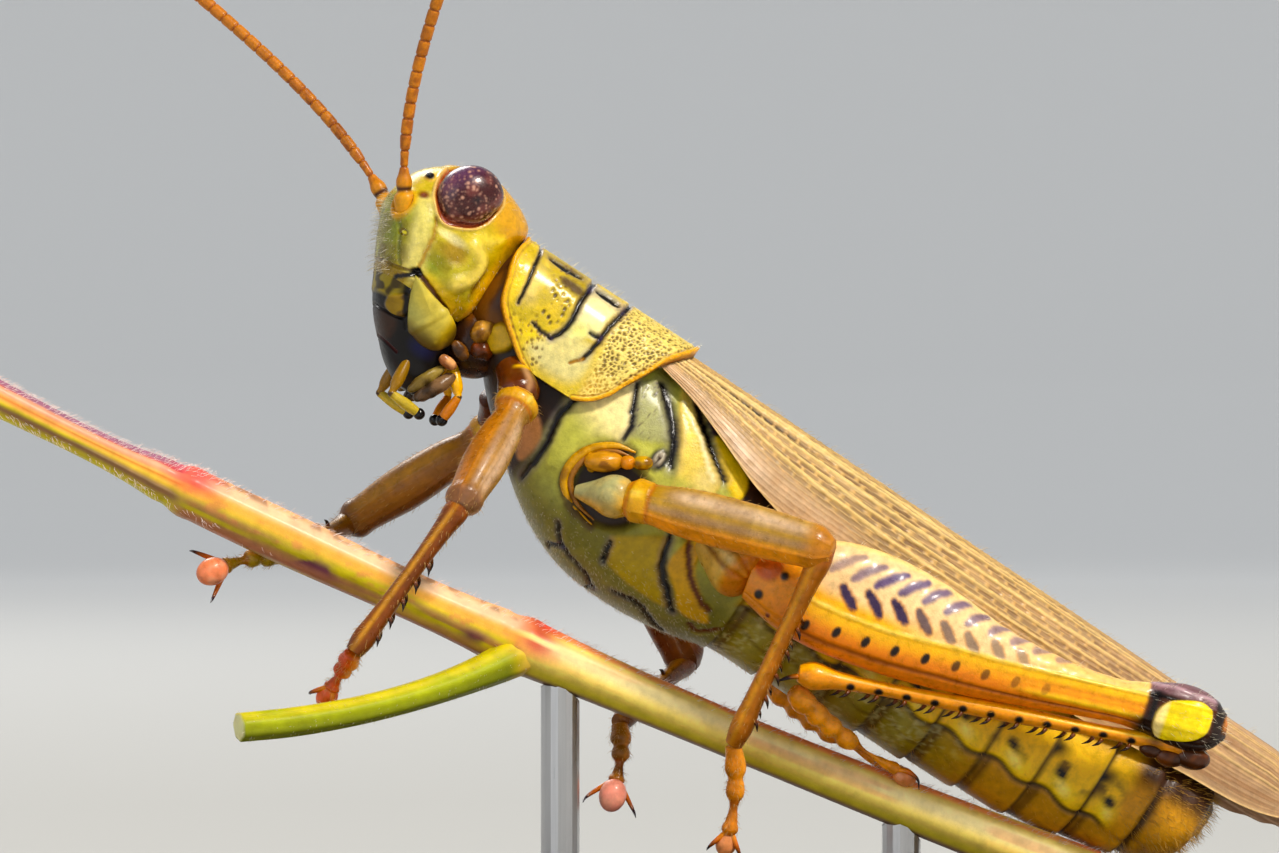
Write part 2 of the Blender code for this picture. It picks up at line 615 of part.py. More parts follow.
def add_stand(stem):
    add_piece("stand_base", rounded_plate(), None, ((0.05, 0.045, 0.04), 0.35), smooth=False)
    path = stem_path()
    for name, x in zip(("front", "rear"), ROD_X):
        top = np.interp(x, path[:, 0], path[:, 2])
        y = STEM_START[1]
        way = straight((x, y, BASE_HEIGHT + GAP), (x, y, top), 2)
        profile = [(0.0, *3 * (ROD_RADIUS,)), (1.0, *3 * (ROD_RADIUS,))]
        shape = tunnel(sweep(way, profile, 16, (0.0, 1.0, 0.0)))
        rod = add_piece(f"stand_rod_{name}", shape, None, ((0.6, 0.6, 0.6), 0.3, 1.0))
        trim(rod, stem)


# ---------------------------------------------------------------- the whole model

def to_metres():
    for item in bpy.context.scene.objects:
        item.location = Vector(item.location) * MM
        if item.type == "MESH":
            item.data.transform(Matrix.Scale(MM, 4))


def main():
    for item in list(bpy.data.objects):
        bpy.data.objects.remove(item, do_unlink=True)
    insect = frame_empty("grasshopper", INSECT_ORIGIN, (0.0, -math.radians(PITCH), math.pi))
    turned = frame_empty("head_frame", NECK, (math.radians(HEAD_ROLL), 0.0, math.radians(HEAD_TURN)), insect)
    stem, shoot = add_stem()
    add_stand(stem)
    thorax = add_thorax(insect)
    plate = shell(pronotum_grid(0.0), pronotum_grid(PLATE))
    pronotum = add_piece("pronotum", plate, insect, ((0.5, 0.46, 0.09), 0.42))
    abdomen = add_abdomen(insect)
    wings = add_wings(insect)
    head, mouth = add_head(turned)
    add_eyes(turned, head)
    trim(head, pronotum)
    add_antennae(turned, head)
    add_palps(turned, mouth)
    trim(thorax, pronotum, head, mouth, *wings)
    for wing in wings:
        trim(wing, pronotum)
    for length in abdomen:
        trim(length, *wings)
    for name in LEGS:
        add_leg(insect, name, (thorax, pronotum), (*abdomen, *wings), (stem, shoot))
    to_metres()


main()
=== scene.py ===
"""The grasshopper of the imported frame, dressed: cuticle, markings, veins, hairs, stem and stand.

Shapes are written in millimetres in the frames that the solids use: the insect's (x forward along
the body, y to its left, z out of its back), the head's, which turns a little at the neck, and the
world's. Each surface is a grid of points that is painted and carved in place, then set in the world.
"""
import itertools
import math

import bmesh
import bpy
import numpy as np
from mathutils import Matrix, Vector


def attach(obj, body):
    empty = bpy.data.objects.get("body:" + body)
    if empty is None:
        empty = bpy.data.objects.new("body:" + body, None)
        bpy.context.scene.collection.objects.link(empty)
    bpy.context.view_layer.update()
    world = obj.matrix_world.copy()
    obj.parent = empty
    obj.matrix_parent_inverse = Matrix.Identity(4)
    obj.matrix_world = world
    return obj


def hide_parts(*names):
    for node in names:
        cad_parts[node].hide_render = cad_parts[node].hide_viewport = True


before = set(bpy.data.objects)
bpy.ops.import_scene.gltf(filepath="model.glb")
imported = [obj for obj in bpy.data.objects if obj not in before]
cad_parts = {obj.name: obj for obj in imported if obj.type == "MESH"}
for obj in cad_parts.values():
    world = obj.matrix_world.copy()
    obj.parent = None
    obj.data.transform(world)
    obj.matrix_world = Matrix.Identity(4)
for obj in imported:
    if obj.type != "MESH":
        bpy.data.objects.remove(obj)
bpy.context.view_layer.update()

MM = 0.001
HANDS = {"left": 1.0, "right": -1.0}
RICHNESS = 1.22                 # how much stronger the painted colours are than their named values

# ---------------------------------------------------------------- frames

ORIGIN = np.array((-1.65, 0.0, 18.0))
PITCH = math.radians(33.0)
NECK = np.array((7.0, 0.0, 3.0))
HEAD_TURN = math.radians(6.0)
HEAD_ROLL = math.radians(3.0)
BODY_AXES = np.array(((-math.cos(PITCH), 0.0, math.sin(PITCH)), (0.0, -1.0, 0.0),
                      (math.sin(PITCH), 0.0, math.cos(PITCH))))


def head_axes():
    c, s = math.cos(HEAD_TURN), math.sin(HEAD_TURN)
    turn = np.array(((c, -s, 0.0), (s, c, 0.0), (0.0, 0.0, 1.0)))
    c, s = math.cos(HEAD_ROLL), math.sin(HEAD_ROLL)
    return turn @ np.array(((1.0, 0.0, 0.0), (0.0, c, -s), (0.0, s, c)))


HEAD_AXES = head_axes()


def from_insect(points):
    return ORIGIN + np.asarray(points) @ BODY_AXES


def from_head(points):
    return from_insect(NECK + np.asarray(points) @ HEAD_AXES.T)


def mirrored(place, hand):
    """The same way of placing, for the left or the right one of a pair."""
    flip = np.array((1.0, hand, 1.0))
    return lambda points: place(points * flip)


def from_world(points):
    return np.asarray(points)


# ---------------------------------------------------------------- numbers

def rgb(colour):
    """Linear colour of a display colour written as 0xrrggbb."""
    value = np.array((colour >> 16, colour >> 8 & 255, colour & 255)) / 255.0
    return np.where(value <= 0.04045, value / 12.92, ((value + 0.055) / 1.055) ** 2.4)


def smooth(low, high, value):
    """0 at low, easing to 1 at high. low may be the larger of the two."""
    t = np.clip((value - low) / (high - low), 0.0, 1.0)
    return t * t * (3 - 2 * t)


def bump(value, middle, reach):
    """1 at the middle, easing to 0 at reach on both sides."""
    return 1 - smooth(0.0, reach, np.abs(value - middle))


def unit(vectors):
    vectors = np.asarray(vectors, float)
    return vectors / np.maximum(np.linalg.norm(vectors, axis=-1, keepdims=True), 1e-9)


def direction(yaw, rise):
    """Unit vector that is turned to the left by yaw and up by rise, in degrees."""
    yaw = math.radians(yaw)
    rise = math.radians(rise)
    return np.array((math.cos(yaw) * math.cos(rise), math.sin(yaw) * math.cos(rise), math.sin(rise)))


def curve_through(rows, places):
    """Smooth values at the given places, through rows that start with their own place."""
    rows = np.array(rows, float)
    if rows[0, 0] > rows[-1, 0]:
        rows = rows[::-1]
    knots = rows[:, 0]
    values = rows[:, 1:]
    slopes = np.gradient(values, knots, axis=0)
    places = np.clip(np.asarray(places, float), knots[0], knots[-1])
    low = np.clip(np.searchsorted(knots, places) - 1, 0, len(knots) - 2)
    span = (knots[low + 1] - knots[low])[:, None]
    t = (places - knots[low])[:, None] / span
    start = (1 + 2 * t) * (1 - t) ** 2 * values[low] + t * (1 - t) ** 2 * span * slopes[low]
    end = t ** 2 * (3 - 2 * t) * values[low + 1] + t ** 2 * (t - 1) * span * slopes[low + 1]
    return start + end


def spline(points, steps):
    """A smooth line through the points."""
    points = np.asarray(points, float)
    if len(points) < 3:
        t = np.linspace(0, 1, steps * max(1, len(points) - 1) + 1)[:, None]
        return points[0] + t * (points[-1] - points[0])
    rows = np.column_stack((np.arange(len(points)), points))
    return curve_through(rows, np.linspace(0, len(points) - 1, steps * (len(points) - 1) + 1))


TABLE_SIZE = 65536
TABLE = np.random.RandomState(5).rand(TABLE_SIZE)
LATTICE_START = 100.0           # keeps every cell number above zero


def lattice(cell, seed):
    """Where a cell's random value lies in the table."""
    x, y, z = cell[..., 0], cell[..., 1], cell[..., 2]
    return ((x * 73856093) ^ (y * 19349663) ^ (z * 83492791) ^ (seed * 2654435)) & (TABLE_SIZE - 1)


def noise(points, size, seed):
    """Smooth random values from 0 to 1 in blobs about size across."""
    place = np.asarray(points) / size + LATTICE_START
    cell = np.floor(place).astype(np.int64)
    part = place - cell
    part = part * part * (3 - 2 * part)
    total = 0.0
    for corner in itertools.product((0, 1), repeat=3):
        weight = np.prod(np.where(np.array(corner) == 1, part, 1 - part), axis=-1)
        total = total + weight * TABLE[lattice(cell + np.array(corner), seed)]
    return total


def cells(points, size, seed):
    """Nearest and second nearest distance to scattered points, size apart, in units of size."""
    place = np.asarray(points) / size + LATTICE_START
    cell = np.floor(place).astype(np.int64)
    first = np.full(place.shape[:-1], 9.0)
    second = first.copy()
    for corner in itertools.product((-1, 0, 1), repeat=3):
        here = cell + np.array(corner)
        key = lattice(here, seed)
        spot = here + np.stack([TABLE[(key + step) & (TABLE_SIZE - 1)] for step in (0, 7919, 15838)], -1)
        gap = np.linalg.norm(place - spot, axis=-1)
        second = np.minimum(second, np.maximum(first, gap))
        first = np.minimum(first, gap)
    return first, second


# ---------------------------------------------------------------- shapes

def oval(sides, half_width, rise, drop, power):
    """Points round an oval, rise high and drop deep. A power above 2 makes it squarer."""
    angle = 2 * math.pi * (np.arange(sides) + 0.5) / sides
    cosine = np.cos(angle)
    sine = np.sin(angle)
    sideways = half_width * np.sign(cosine) * np.abs(cosine) ** (2 / power)
    height = np.where(sine > 0, rise, drop)
    return sideways, height * np.sign(sine) * np.abs(sine) ** (2 / power)


def sweep(path, profile, sides, up, power=2.0):
    """Rings along a path. profile rows are place, half width, rise and drop."""
    path = np.asarray(path, float)
    steps = np.linalg.norm(np.diff(path, axis=0), axis=1)
    places = np.concatenate(([0.0], np.cumsum(steps))) / steps.sum()
    widths = curve_through(profile, places)
    tangents = np.gradient(path, axis=0)
    rings = []
    for centre, tangent, (half_width, rise, drop) in zip(path, tangents, widths):
        side = unit(np.cross(up, tangent))
        top = unit(np.cross(tangent, side))
        sideways, upward = oval(sides, half_width, rise, drop, power)
        rings.append(centre + sideways[:, None] * side + upward[:, None] * top)
    return np.array(rings)


def round_profile(rows):
    return [(place, radius, radius, radius) for place, radius in rows]


def straight(start, end, rings, ends=True):
    """Points along a straight line, closer together near its ends unless ends is False."""
    t = np.linspace(0, math.pi, rings)
    t = 0.5 - 0.5 * np.cos(t) if ends else np.linspace(0, 1, rings)
    return np.asarray(start) + t[:, None] * (np.asarray(end) - np.asarray(start))


def grid_faces(rows, columns, closed):
    """Quads of a grid of points, in rows."""
    wide = columns if closed else columns - 1
    row, column = np.meshgrid(np.arange(rows - 1), np.arange(wide), indexing="ij")
    here = row * columns + column
    beside = row * columns + (column + 1) % columns
    return np.stack((here, beside, beside + columns, here + columns), -1).reshape(-1, 4).tolist()


def normals_of(grid, closed, centre=None):
    across = np.roll(grid, -1, 1) - np.roll(grid, 1, 1) if closed else np.gradient(grid, axis=1)
    normal = unit(np.cross(across, np.gradient(grid, axis=0)))
    middle = grid.mean(axis=1, keepdims=True) if centre is None else np.asarray(centre)
    return normal if (normal * (grid - middle)).sum() > 0 else -normal


class Skin:
    """A grid of points with each one's colour, and how far it is lifted off the plain shape."""

    def __init__(self, grid, base, closed=True, centre=None, mirror=True):
        self.grid = np.asarray(grid, float)
        self.closed = closed
        self.normal = normals_of(self.grid, closed, centre)
        self.chart = self.grid.copy()
        if mirror:
            self.chart[..., 1] = np.abs(self.chart[..., 1])
        self.tint = np.broadcast_to(rgb(base), self.grid.shape).copy()
        self.lift = np.zeros(self.grid.shape[:2])
        self.wet = np.zeros(self.grid.shape[:2])

    @property
    def x(self):
        return self.chart[..., 0]

    @property
    def y(self):
        return self.chart[..., 1]

    @property
    def z(self):
        return self.chart[..., 2]

    def paint(self, mask, colour, lift=0.0):
        self.tint += np.asarray(mask)[..., None] * (rgb(colour) - self.tint)
        self.lift += mask * lift

    def mottle(self, size, amount, seed):
        """Lighter and darker blotches."""
        value = noise(self.grid, size, seed) + 0.5 * noise(self.grid, size / 2.3, seed + 1) - 0.75
        self.tint *= (1 + amount * 2 * value)[..., None]

    def path_gap(self, points, reach):
        """Distance of each point from a line laid on the surface, and how far along it that is."""
        flat = self.chart.reshape(-1, 3)
        path = spline(points, 6)
        path = np.array([flat[((flat - spot) ** 2).sum(1).argmin()] for spot in path])
        gap = np.full(len(flat), 1e3)
        along = np.zeros(len(flat))
        near = np.all((flat > path.min(0) - reach) & (flat < path.max(0) + reach), axis=1).nonzero()[0]
        some = flat[near]
        best = gap[near]
        where = along[near]
        for number, (start, end) in enumerate(zip(path, path[1:])):
            step = end - start
            size = step @ step
            t = np.clip((some - start) @ step / size, 0, 1) if size > 1e-9 else np.zeros(len(some))
            distance = np.linalg.norm(some - start - t[:, None] * step, axis=1)
            closer = distance < best
            best = np.where(closer, distance, best)
            where = np.where(closer, (number + t) / (len(path) - 1), where)
        gap[near] = best
        along[near] = where
        return gap.reshape(self.grid.shape[:2]), along.reshape(self.grid.shape[:2])

    def line(self, points, width, colour=None, depth=0.0, blur=0.6, taper=0.0, strength=1.0):
        """A line of half the width each side, cut in by depth, or raised where depth is negative."""
        gap, along = self.path_gap(points, 3 * width + 0.3)
        half = width * (1 - taper * np.abs(2 * along - 1) ** 2)
        mask = 1 - smooth(half * (1 - blur), half * (1 + blur) + 1e-4, gap)
        if colour is not None:
            self.paint(mask * strength, colour)
        self.lift -= mask * depth
        return mask

    def spot(self, centre, radii, colour=None, lift=0.0, blur=0.3, strength=1.0):
        """A round or oval spot: radii is one number, or one along x, y and z."""
        gap = np.linalg.norm((self.chart - np.asarray(centre)) / np.asarray(radii), axis=-1)
        mask = 1 - smooth(1 - blur, 1 + blur, gap)
        if colour is not None:
            self.paint(mask * strength, colour)
        self.lift += mask * lift
        return mask

    def inside(self, outline, blur=0.08):
        """1 inside an outline given in x and z, easing to 0 over blur."""
        outline = spline(list(outline) + [outline[0]], 5)
        x, z = self.x, self.z
        gap = np.full(x.shape, 1e3)
        within = np.zeros(x.shape, bool)
        for (x0, z0), (x1, z1) in zip(outline, outline[1:]):
            step = np.array((x1 - x0, z1 - z0))
            size = max(step @ step, 1e-9)
            t = np.clip(((x - x0) * step[0] + (z - z0) * step[1]) / size, 0, 1)
            gap = np.minimum(gap, np.hypot(x - x0 - t * step[0], z - z0 - t * step[1]))
            crossing = (z0 > z) != (z1 > z)
            within ^= crossing & (x < x0 + (z - z0) * (x1 - x0) / (z1 - z0 if z1 != z0 else 1e-9))
        return smooth(-blur, blur, np.where(within, gap, -gap))

    def plate(self, outline, blur, colour, lift=0.0, strength=1.0):
        """Paint and lift what lies inside an outline given in x and z."""
        mask = self.inside(outline, blur) * strength
        self.paint(mask, colour, lift)
        return mask

    def points(self):
        return self.grid + self.normal * self.lift[..., None]


class Bundle:
    """Surfaces that together make one piece of the scene."""

    def __init__(self, name):
        self.name = name
        self.vertices = []
        self.tints = []
        self.wets = []
        self.faces = []
        self.maps = []
        self.count = 0

    def add(self, points, faces, tint, wet=0.0, maps=None):
        points = np.asarray(points, float).reshape(-1, 3)
        self.vertices.append(points)
        self.tints.append(np.broadcast_to(np.asarray(tint, float).reshape(-1, 3), points.shape))
        self.wets.append(np.broadcast_to(np.asarray(wet, float).ravel(), (len(points),)))
        if maps is not None:
            self.maps.append(np.asarray(maps, float))
        offset = self.count
        self.faces += [[corner + offset for corner in face] for face in faces]
        self.count += len(points)

    def add_skin(self, skin, place):
        """A painted grid, with a fan at each end where it is a tube."""
        points = skin.points()
        rows, columns = points.shape[:2]
        faces = grid_faces(rows, columns, skin.closed)
        flat = points.reshape(-1, 3)
        tint = skin.tint.reshape(-1, 3)
        wet = skin.wet.ravel()
        if skin.closed:
            ends = []
            for row in (0, rows - 1):
                middle = len(flat) + len(ends)
                ends.append((points[row].mean(0), skin.tint[row].mean(0), skin.wet[row].mean()))
                faces += [[row * columns + side, row * columns + (side + 1) % columns, middle]
                          for side in range(columns)]
            flat = np.vstack((flat, [end[0] for end in ends]))
            tint = np.vstack((tint, [end[1] for end in ends]))
            wet = np.concatenate((wet, [end[2] for end in ends]))
        self.add(place(flat), faces, tint, wet)

    def build(self, made, slot, replaces=()):
        """The finished piece, in place of the nodes that it replaces. Its slot is not used."""
        mesh = bpy.data.meshes.new(self.name)
        vertices = np.vstack(self.vertices) * MM
        mesh.from_pydata(vertices.tolist(), [], self.faces)
        tint = mesh.attributes.new("tint", "FLOAT_COLOR", "POINT")
        colours = np.vstack(self.tints)
        grey = colours.mean(1, keepdims=True)
        colours = np.clip(grey + RICHNESS * (colours - grey), 0, 1)
        colours = np.column_stack((colours, np.ones(len(vertices))))
        tint.data.foreach_set("color", colours.ravel())
        wet = mesh.attributes.new("wet", "FLOAT", "POINT")
        wet.data.foreach_set("value", np.concatenate(self.wets))
        if self.maps:
            layer = mesh.uv_layers.new(name="OFBake")
            maps = np.vstack(self.maps)
            corners = np.empty(len(mesh.loops), np.int32)
            mesh.loops.foreach_get("vertex_index", corners)
            layer.data.foreach_set("uv", maps[corners].ravel())
        piece = bpy.data.objects.new(self.name, mesh)
        bpy.context.scene.collection.objects.link(piece)
        turn_outwards(mesh)
        mesh.shade_smooth()
        mesh.materials.append(made)
        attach(piece, "root")
        if replaces:
            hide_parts(*replaces)


def turn_outwards(mesh):
    """Point every face of a mesh outwards."""
    work = bmesh.new()
    work.from_mesh(mesh)
    bmesh.ops.recalc_face_normals(work, faces=work.faces)
    work.to_mesh(mesh)
    work.free()


# ---------------------------------------------------------------- finishes

def build_piece(name, skins, place, made, slot, *replaced):
    """One piece of the scene, made of skins that are all set in place in the same way."""
    bundle = Bundle(name)
    for skin in skins:
        bundle.add_skin(skin, place)
    bundle.build(made, slot, replaced)


def node(tree, kind, **settings):
    made = tree.nodes.new(kind)
    for name, value in settings.items():
        if name in made.inputs:
            made.inputs[name].default_value = value
        else:
            setattr(made, name, value)
    return made


def material(name):
    """A new material, with its node tree and its shader."""
    made = bpy.data.materials.new(name)
    made.use_nodes = True
    return made, made.node_tree, made.node_tree.nodes["Principled BSDF"]


def remap(tree, value, source, target):
    """A value stretched from the range source to the range target."""
    made = node(tree, "ShaderNodeMapRange", **{"From Min": source[0], "From Max": source[1],
                                               "To Min": target[0], "To Max": target[1]})
    tree.links.new(value, made.inputs["Value"])
    return made.outputs["Result"]


def texture(tree, kind, place, size, **settings):
    """A texture whose blobs or cells are about size across."""
    made = node(tree, kind, Scale=1 / (size * MM), **settings)
    tree.links.new(place, made.inputs["Vector"])
    return made


NOISE_RANGE = (0.3, 0.7)        # where nearly all values of a noise texture lie
BUMP_HEIGHT = 0.02              # of every fine relief
WET_ROUGHNESS = 0.16
COAT_SHARE = 0.7                # of a finish's coat that is laid on it
# sockets of a mix node: of its two numbers, of its two colours, and of the mixed colour
MIX_NUMBERS = (2, 3)
MIX_COLOURS = (6, 7)
MIXED_COLOUR = 2


def finish(name, rough, rough_spread, grain, grain_size, relief, relief_size, coat=0.0, soft=0.0,
           facets=0.0):
    """Painted cuticle: its colour comes from the points, varied by fine noise, with a fine relief.

    Sizes are in millimetres. facets is the size of a compound eye's lenses.
    """
    made, tree, shader = material(name)
    link = tree.links.new
    place = node(tree, "ShaderNodeTexCoord").outputs["Object"]
    tint = node(tree, "ShaderNodeAttribute", attribute_name="tint")
    wet = node(tree, "ShaderNodeAttribute", attribute_name="wet")
    coarse = texture(tree, "ShaderNodeTexNoise", place, grain_size, Detail=4.0,
                     Roughness=0.6).outputs["Fac"]
    shade = node(tree, "ShaderNodeMix", data_type="RGBA", blend_type="MULTIPLY", Factor=1.0)
    link(tint.outputs["Color"], shade.inputs[MIX_COLOURS[0]])
    link(remap(tree, coarse, NOISE_RANGE, (1 - grain, 1 + grain)), shade.inputs[MIX_COLOURS[1]])
    link(shade.outputs[MIXED_COLOUR], shader.inputs["Base Color"])
    wetness = node(tree, "ShaderNodeMix")
    link(wet.outputs["Fac"], wetness.inputs["Factor"])
    gloss = remap(tree, coarse, NOISE_RANGE, (rough - rough_spread, rough + rough_spread))
    link(gloss, wetness.inputs[MIX_NUMBERS[0]])
    wetness.inputs[MIX_NUMBERS[1]].default_value = WET_ROUGHNESS
    link(wetness.outputs["Result"], shader.inputs["Roughness"])
    if facets:
        height = texture(tree, "ShaderNodeTexVoronoi", place, facets, Randomness=0.25).outputs["Distance"]
    else:
        height = texture(tree, "ShaderNodeTexNoise", place, relief_size, Detail=3.0,
                         Roughness=0.6).outputs["Fac"]
    bumps = node(tree, "ShaderNodeBump", Strength=relief, Distance=BUMP_HEIGHT * MM)
    link(height, bumps.inputs["Height"])
    link(bumps.outputs["Normal"], shader.inputs["Normal"])
    settings = {"Specular IOR Level": 0.26, "Coat Weight": COAT_SHARE * coat,
                "Coat Roughness": WET_ROUGHNESS}
    if soft:
        settings.update({"Subsurface Weight": soft, "Subsurface Radius": (0.6, 0.3, 0.1),
                         "Subsurface Scale": 0.6 * MM})
    for socket, value in settings.items():
        shader.inputs[socket].default_value = value
    return made


# ---------------------------------------------------------------- colours

BLACK = 0x0d090a
INK = 0x1e141e
VIOLET = 0x54426e
PALE = 0xf0e0a5
GREEN = 0xb4b25c
BROWN = 0x703e16
UMBER = 0x341e10


# ---------------------------------------------------------------- trunk

WAIST = -5.85
ABDOMEN_END = -23.45
SEGMENT = 1.92                  # length of an abdominal segment
FOLD = -1.45                    # height of the fold between the upper and the lower plates

THORAX_ROWS = [
    (6.55, 1.9, 4.3, 1.5), (5.4, 0.4, 4.45, 1.75), (3.6, -1.3, 4.45, 2.0), (2.0, -2.55, 4.4, 2.25),
    (0.0, -3.5, 4.25, 2.65), (-2.0, -3.75, 4.15, 2.85), (-4.0, -3.6, 3.95, 2.8)]
ABDOMEN_ROWS = [
    (WAIST, -3.2, 3.65, 2.47), (-9.0, -3.0, 3.35, 2.3), (-12.0, -2.8, 3.15, 2.2), (-15.0, -2.6, 3.0, 2.1),
    (-18.0, -2.3, 2.8, 2.0), (-20.2, -1.8, 2.7, 1.85), (-22.0, -1.1, 2.5, 1.6), (-23.0, -0.3, 2.2, 1.15),
    (ABDOMEN_END, 0.6, 1.7, 0.4)]
SOCKET_RIM = [
    (-0.1, 2.58, 0.95), (0.53, 2.5, 0.8), (0.99, 2.41, 0.47), (1.32, 2.35, 0.04), (1.47, 2.26, -0.49),
    (1.41, 2.14, -1.0), (1.1, 2.05, -1.4), (0.7, 2.03, -1.65), (0.32, 2.1, -1.76), (-0.21, 2.24, -1.85)]
SOCKET_MIDDLE = np.array((-0.1, 2.6, -0.5))
# the sutures of the side and the breast, each with its width
THORAX_SEAMS = [
    ([(2.47, 1.97, 1.45), (2.67, 2.12, 0.63), (2.54, 2.02, -0.28), (2.46, 1.69, -1.02), (2.6, 1.2, -1.8)],
     0.13),
    ([(1.06, 1.93, 2.95), (0.79, 2.23, 2.25), (0.49, 2.39, 1.65), (0.46, 2.5, 1.08)], 0.1),
    ([(0.3, 1.71, 3.44), (-0.38, 2.1, 2.81), (-0.95, 2.47, 1.99), (-1.33, 2.63, 1.25)], 0.19),
    ([(-0.98, 1.59, 3.52), (-1.5, 1.97, 3.02), (-2.04, 2.2, 2.6), (-3.1, 2.54, 1.75)], 0.16),
    ([(-2.5, 2.8, -0.6), (-2.88, 2.61, -1.7), (-3.48, 2.31, -2.31), (-4.08, 1.93, -2.8)], 0.12),
    ([(-1.02, 2.38, -1.92), (-1.23, 1.92, -2.58)], 0.1),
    ([(0.63, 1.54, -2.21), (0.05, 1.25, -2.63), (-0.97, 1.18, -2.97), (-1.57, 0.75, -3.19)], 0.1),
    ([(0.05, 1.25, -2.63), (0.4, 0.8, -2.8), (0.38, 0.6, -3.0)], 0.08),
    ([(-1.5, 0.99, -3.14), (-1.36, 0.4, -3.4)], 0.08),
    ([(-2.1, 1.36, -3.1), (-2.98, 1.51, -3.05), (-3.83, 0.95, -3.31), (-4.3, 0.5, -3.5)], 0.13)]
HIND_CREASES = [[(-3.02, 2.79, -0.42), (-3.72, 2.7, -1.35), (-4.57, 2.41, -1.99), (-5.09, 2.22, -2.14)],
                [(-4.83, 1.65, -2.84), (-5.2, 1.45, -2.89), (-5.78, 1.81, -2.5)]]


def body_rings(rows, places, sides, power):
    """Rings across the body. rows are place, lowest and highest point, and half width."""
    rings = []
    for x, (low, high, half_width) in zip(places, curve_through(rows, places)):
        waist = 0.5 * (low + high) - 0.1 * (high - low)
        sideways, upward = oval(sides, half_width, high - waist, waist - low, power)
        rings.append(np.column_stack((np.full(sides, x), sideways, waist + upward)))
    return np.array(rings)


def paint_plates(skin):
    """Plates of the side and the breast, olive to pale yellow on a dark ground. The lower side is darker
    olive, partly its own colour and partly painted shade, and the front under the pronotum is nearly black
    with painted shade.
    """
    x, z = skin.x, skin.z
    # darker olive towards the bottom: partly the plates' own colour, partly painted shade
    skin.paint(smooth(-0.2, -2.2, z), 0x706a30)
    skin.paint(0.5 * smooth(-2.4, -3.4, z), 0x7c784e)
    skin.paint(bump(z, -1.6, 0.9) * bump(x, 1.4, 1.4) * 0.5, 0xa6a860)
    # painted shade: the front of the thorax, under the pronotum and the neck, nearly black
    skin.paint(smooth(2.4, 3.0, x), 0x22130c)
    skin.plate([(3.6, -0.1), (3.25, 0.2), (2.8, -0.3), (2.75, -0.9), (2.95, -1.35), (3.35, -0.9)], 0.1,
               0xb07c54, 0.04, 0.9)
    skin.plate([(6.2, 1.85), (5.8, 2.2), (5.25, 1.95), (5.3, 1.5), (5.75, 1.15), (6.1, 1.3)], 0.1, 0xcea834,
               0.14)
    skin.paint(smooth(5.6, 6.1, x) * smooth(1.9, 2.6, z), 0xbe7832, 0.03)
    front = skin.plate([(2.35, 1.5), (1.7, 2.9), (1.04, 3.1), (0.55, 1.8), (0.46, 1.1), (1.05, 0.85),
                        (1.55, 0.3), (1.75, -0.8), (2.2, -0.95), (2.5, 0.35)], 0.12, GREEN, 0.07)
    skin.paint(front * smooth(0.2, 1.7, z + 0.35 * (1.4 - x)), PALE)
    strip = skin.plate([(1.06, 3.1), (0.2, 3.5), (-0.4, 2.8), (-0.9, 1.95), (0.0, 1.4), (0.46, 1.55)], 0.07,
                       0x9e9c68, 0.04)
    first, _ = cells(skin.chart, 0.16, 3)
    skin.paint(strip * smooth(0.3, 0.16, first) * 0.8, UMBER, -0.02)
    rear = skin.plate([(-0.2, 3.9), (-1.2, 3.9), (-1.75, 2.9), (-2.5, 2.3), (-3.05, 1.65), (-2.9, 0.6),
                       (-1.9, 0.5), (-1.5, 1.4), (-0.9, 2.3)], 0.08, 0xdec468, 0.07)
    skin.paint(rear * bump(z, 0.7, 0.7), GREEN)
    skin.paint(bump(x, -2.6, 0.7) * bump(z, 1.4, 0.7) * 0.8, 0xe0cc8c)
    skin.line([(-0.6, 1.9, 3.27), (-2.0, 2.4, 2.28), (-2.75, 2.6, 1.5)], 0.08, 0xf0e0aa, -0.04)
    # painted shade: the side above the hind seam is darkened umber where it lies under the wing root
    under_wing_shade = smooth(0.1, 0.3, z - 3.52 - 0.83 * (x + 0.98))
    skin.paint(under_wing_shade * smooth(-0.9, -1.4, x) * smooth(-5.9, -5.0, x) * smooth(0.0, 0.6, z), UMBER)
    skin.plate([(-2.05, 2.85), (-2.4, 2.95), (-3.75, 2.3), (-3.9, 1.5), (-3.4, 1.6), (-2.7, 2.2)], 0.07,
               0xe8c646, 0.06)
    skin.plate([(-0.9, -1.85), (-2.6, -0.8), (-2.75, -1.7), (-3.3, -2.3), (-3.9, -2.8), (-2.4, -2.85),
                (-1.2, -2.55)], 0.08, 0xa88e38, 0.06)
    skin.plate([(-3.1, -0.6), (-3.0, -1.6), (-3.7, -2.2), (-4.3, -2.7), (-5.3, -2.5), (-4.7, -2.0),
                (-3.9, -1.3), (-3.6, -0.4)], 0.08, 0xc4983c, 0.07)


def paint_seams(skin, seams, flush, bleed, depth, taper):
    """Black seams cut into a plate, each in a violet flush bleed times its width."""
    for points, width in seams:
        skin.line(points, bleed * width, VIOLET, strength=flush)
        skin.wet += skin.line(points, width, BLACK, depth, taper=taper)


def paint_socket(skin):
    """The middle leg's socket, a hollow darkened with painted shade behind a narrow rim, and the breathing
    hole above it.
    """
    # painted shade: the hollow round the middle coxa, sunk and nearly black
    skin.spot((-0.1, 2.6, -0.6), (1.36, 1.6, 1.25), 0x281810, -0.26, 0.16)
    rim = np.array(SOCKET_RIM)
    skin.line(rim, 0.16, 0x462c14, strength=0.8)
    skin.line(SOCKET_MIDDLE + (rim - SOCKET_MIDDLE) * 0.93, 0.035, 0x321c0e, 0.06)
    for centre, radii, colour, lift in (((-0.88, 2.62, 1.18), (0.3, 0.6, 0.42), BLACK, -0.05),
                                        ((-0.86, 2.62, 1.22), (0.17, 0.5, 0.26), 0xbeb4a0, 0.14),
                                        ((-0.86, 2.62, 1.22), (0.06, 0.4, 0.15), UMBER, -0.1)):
        skin.spot(centre, radii, colour, lift)


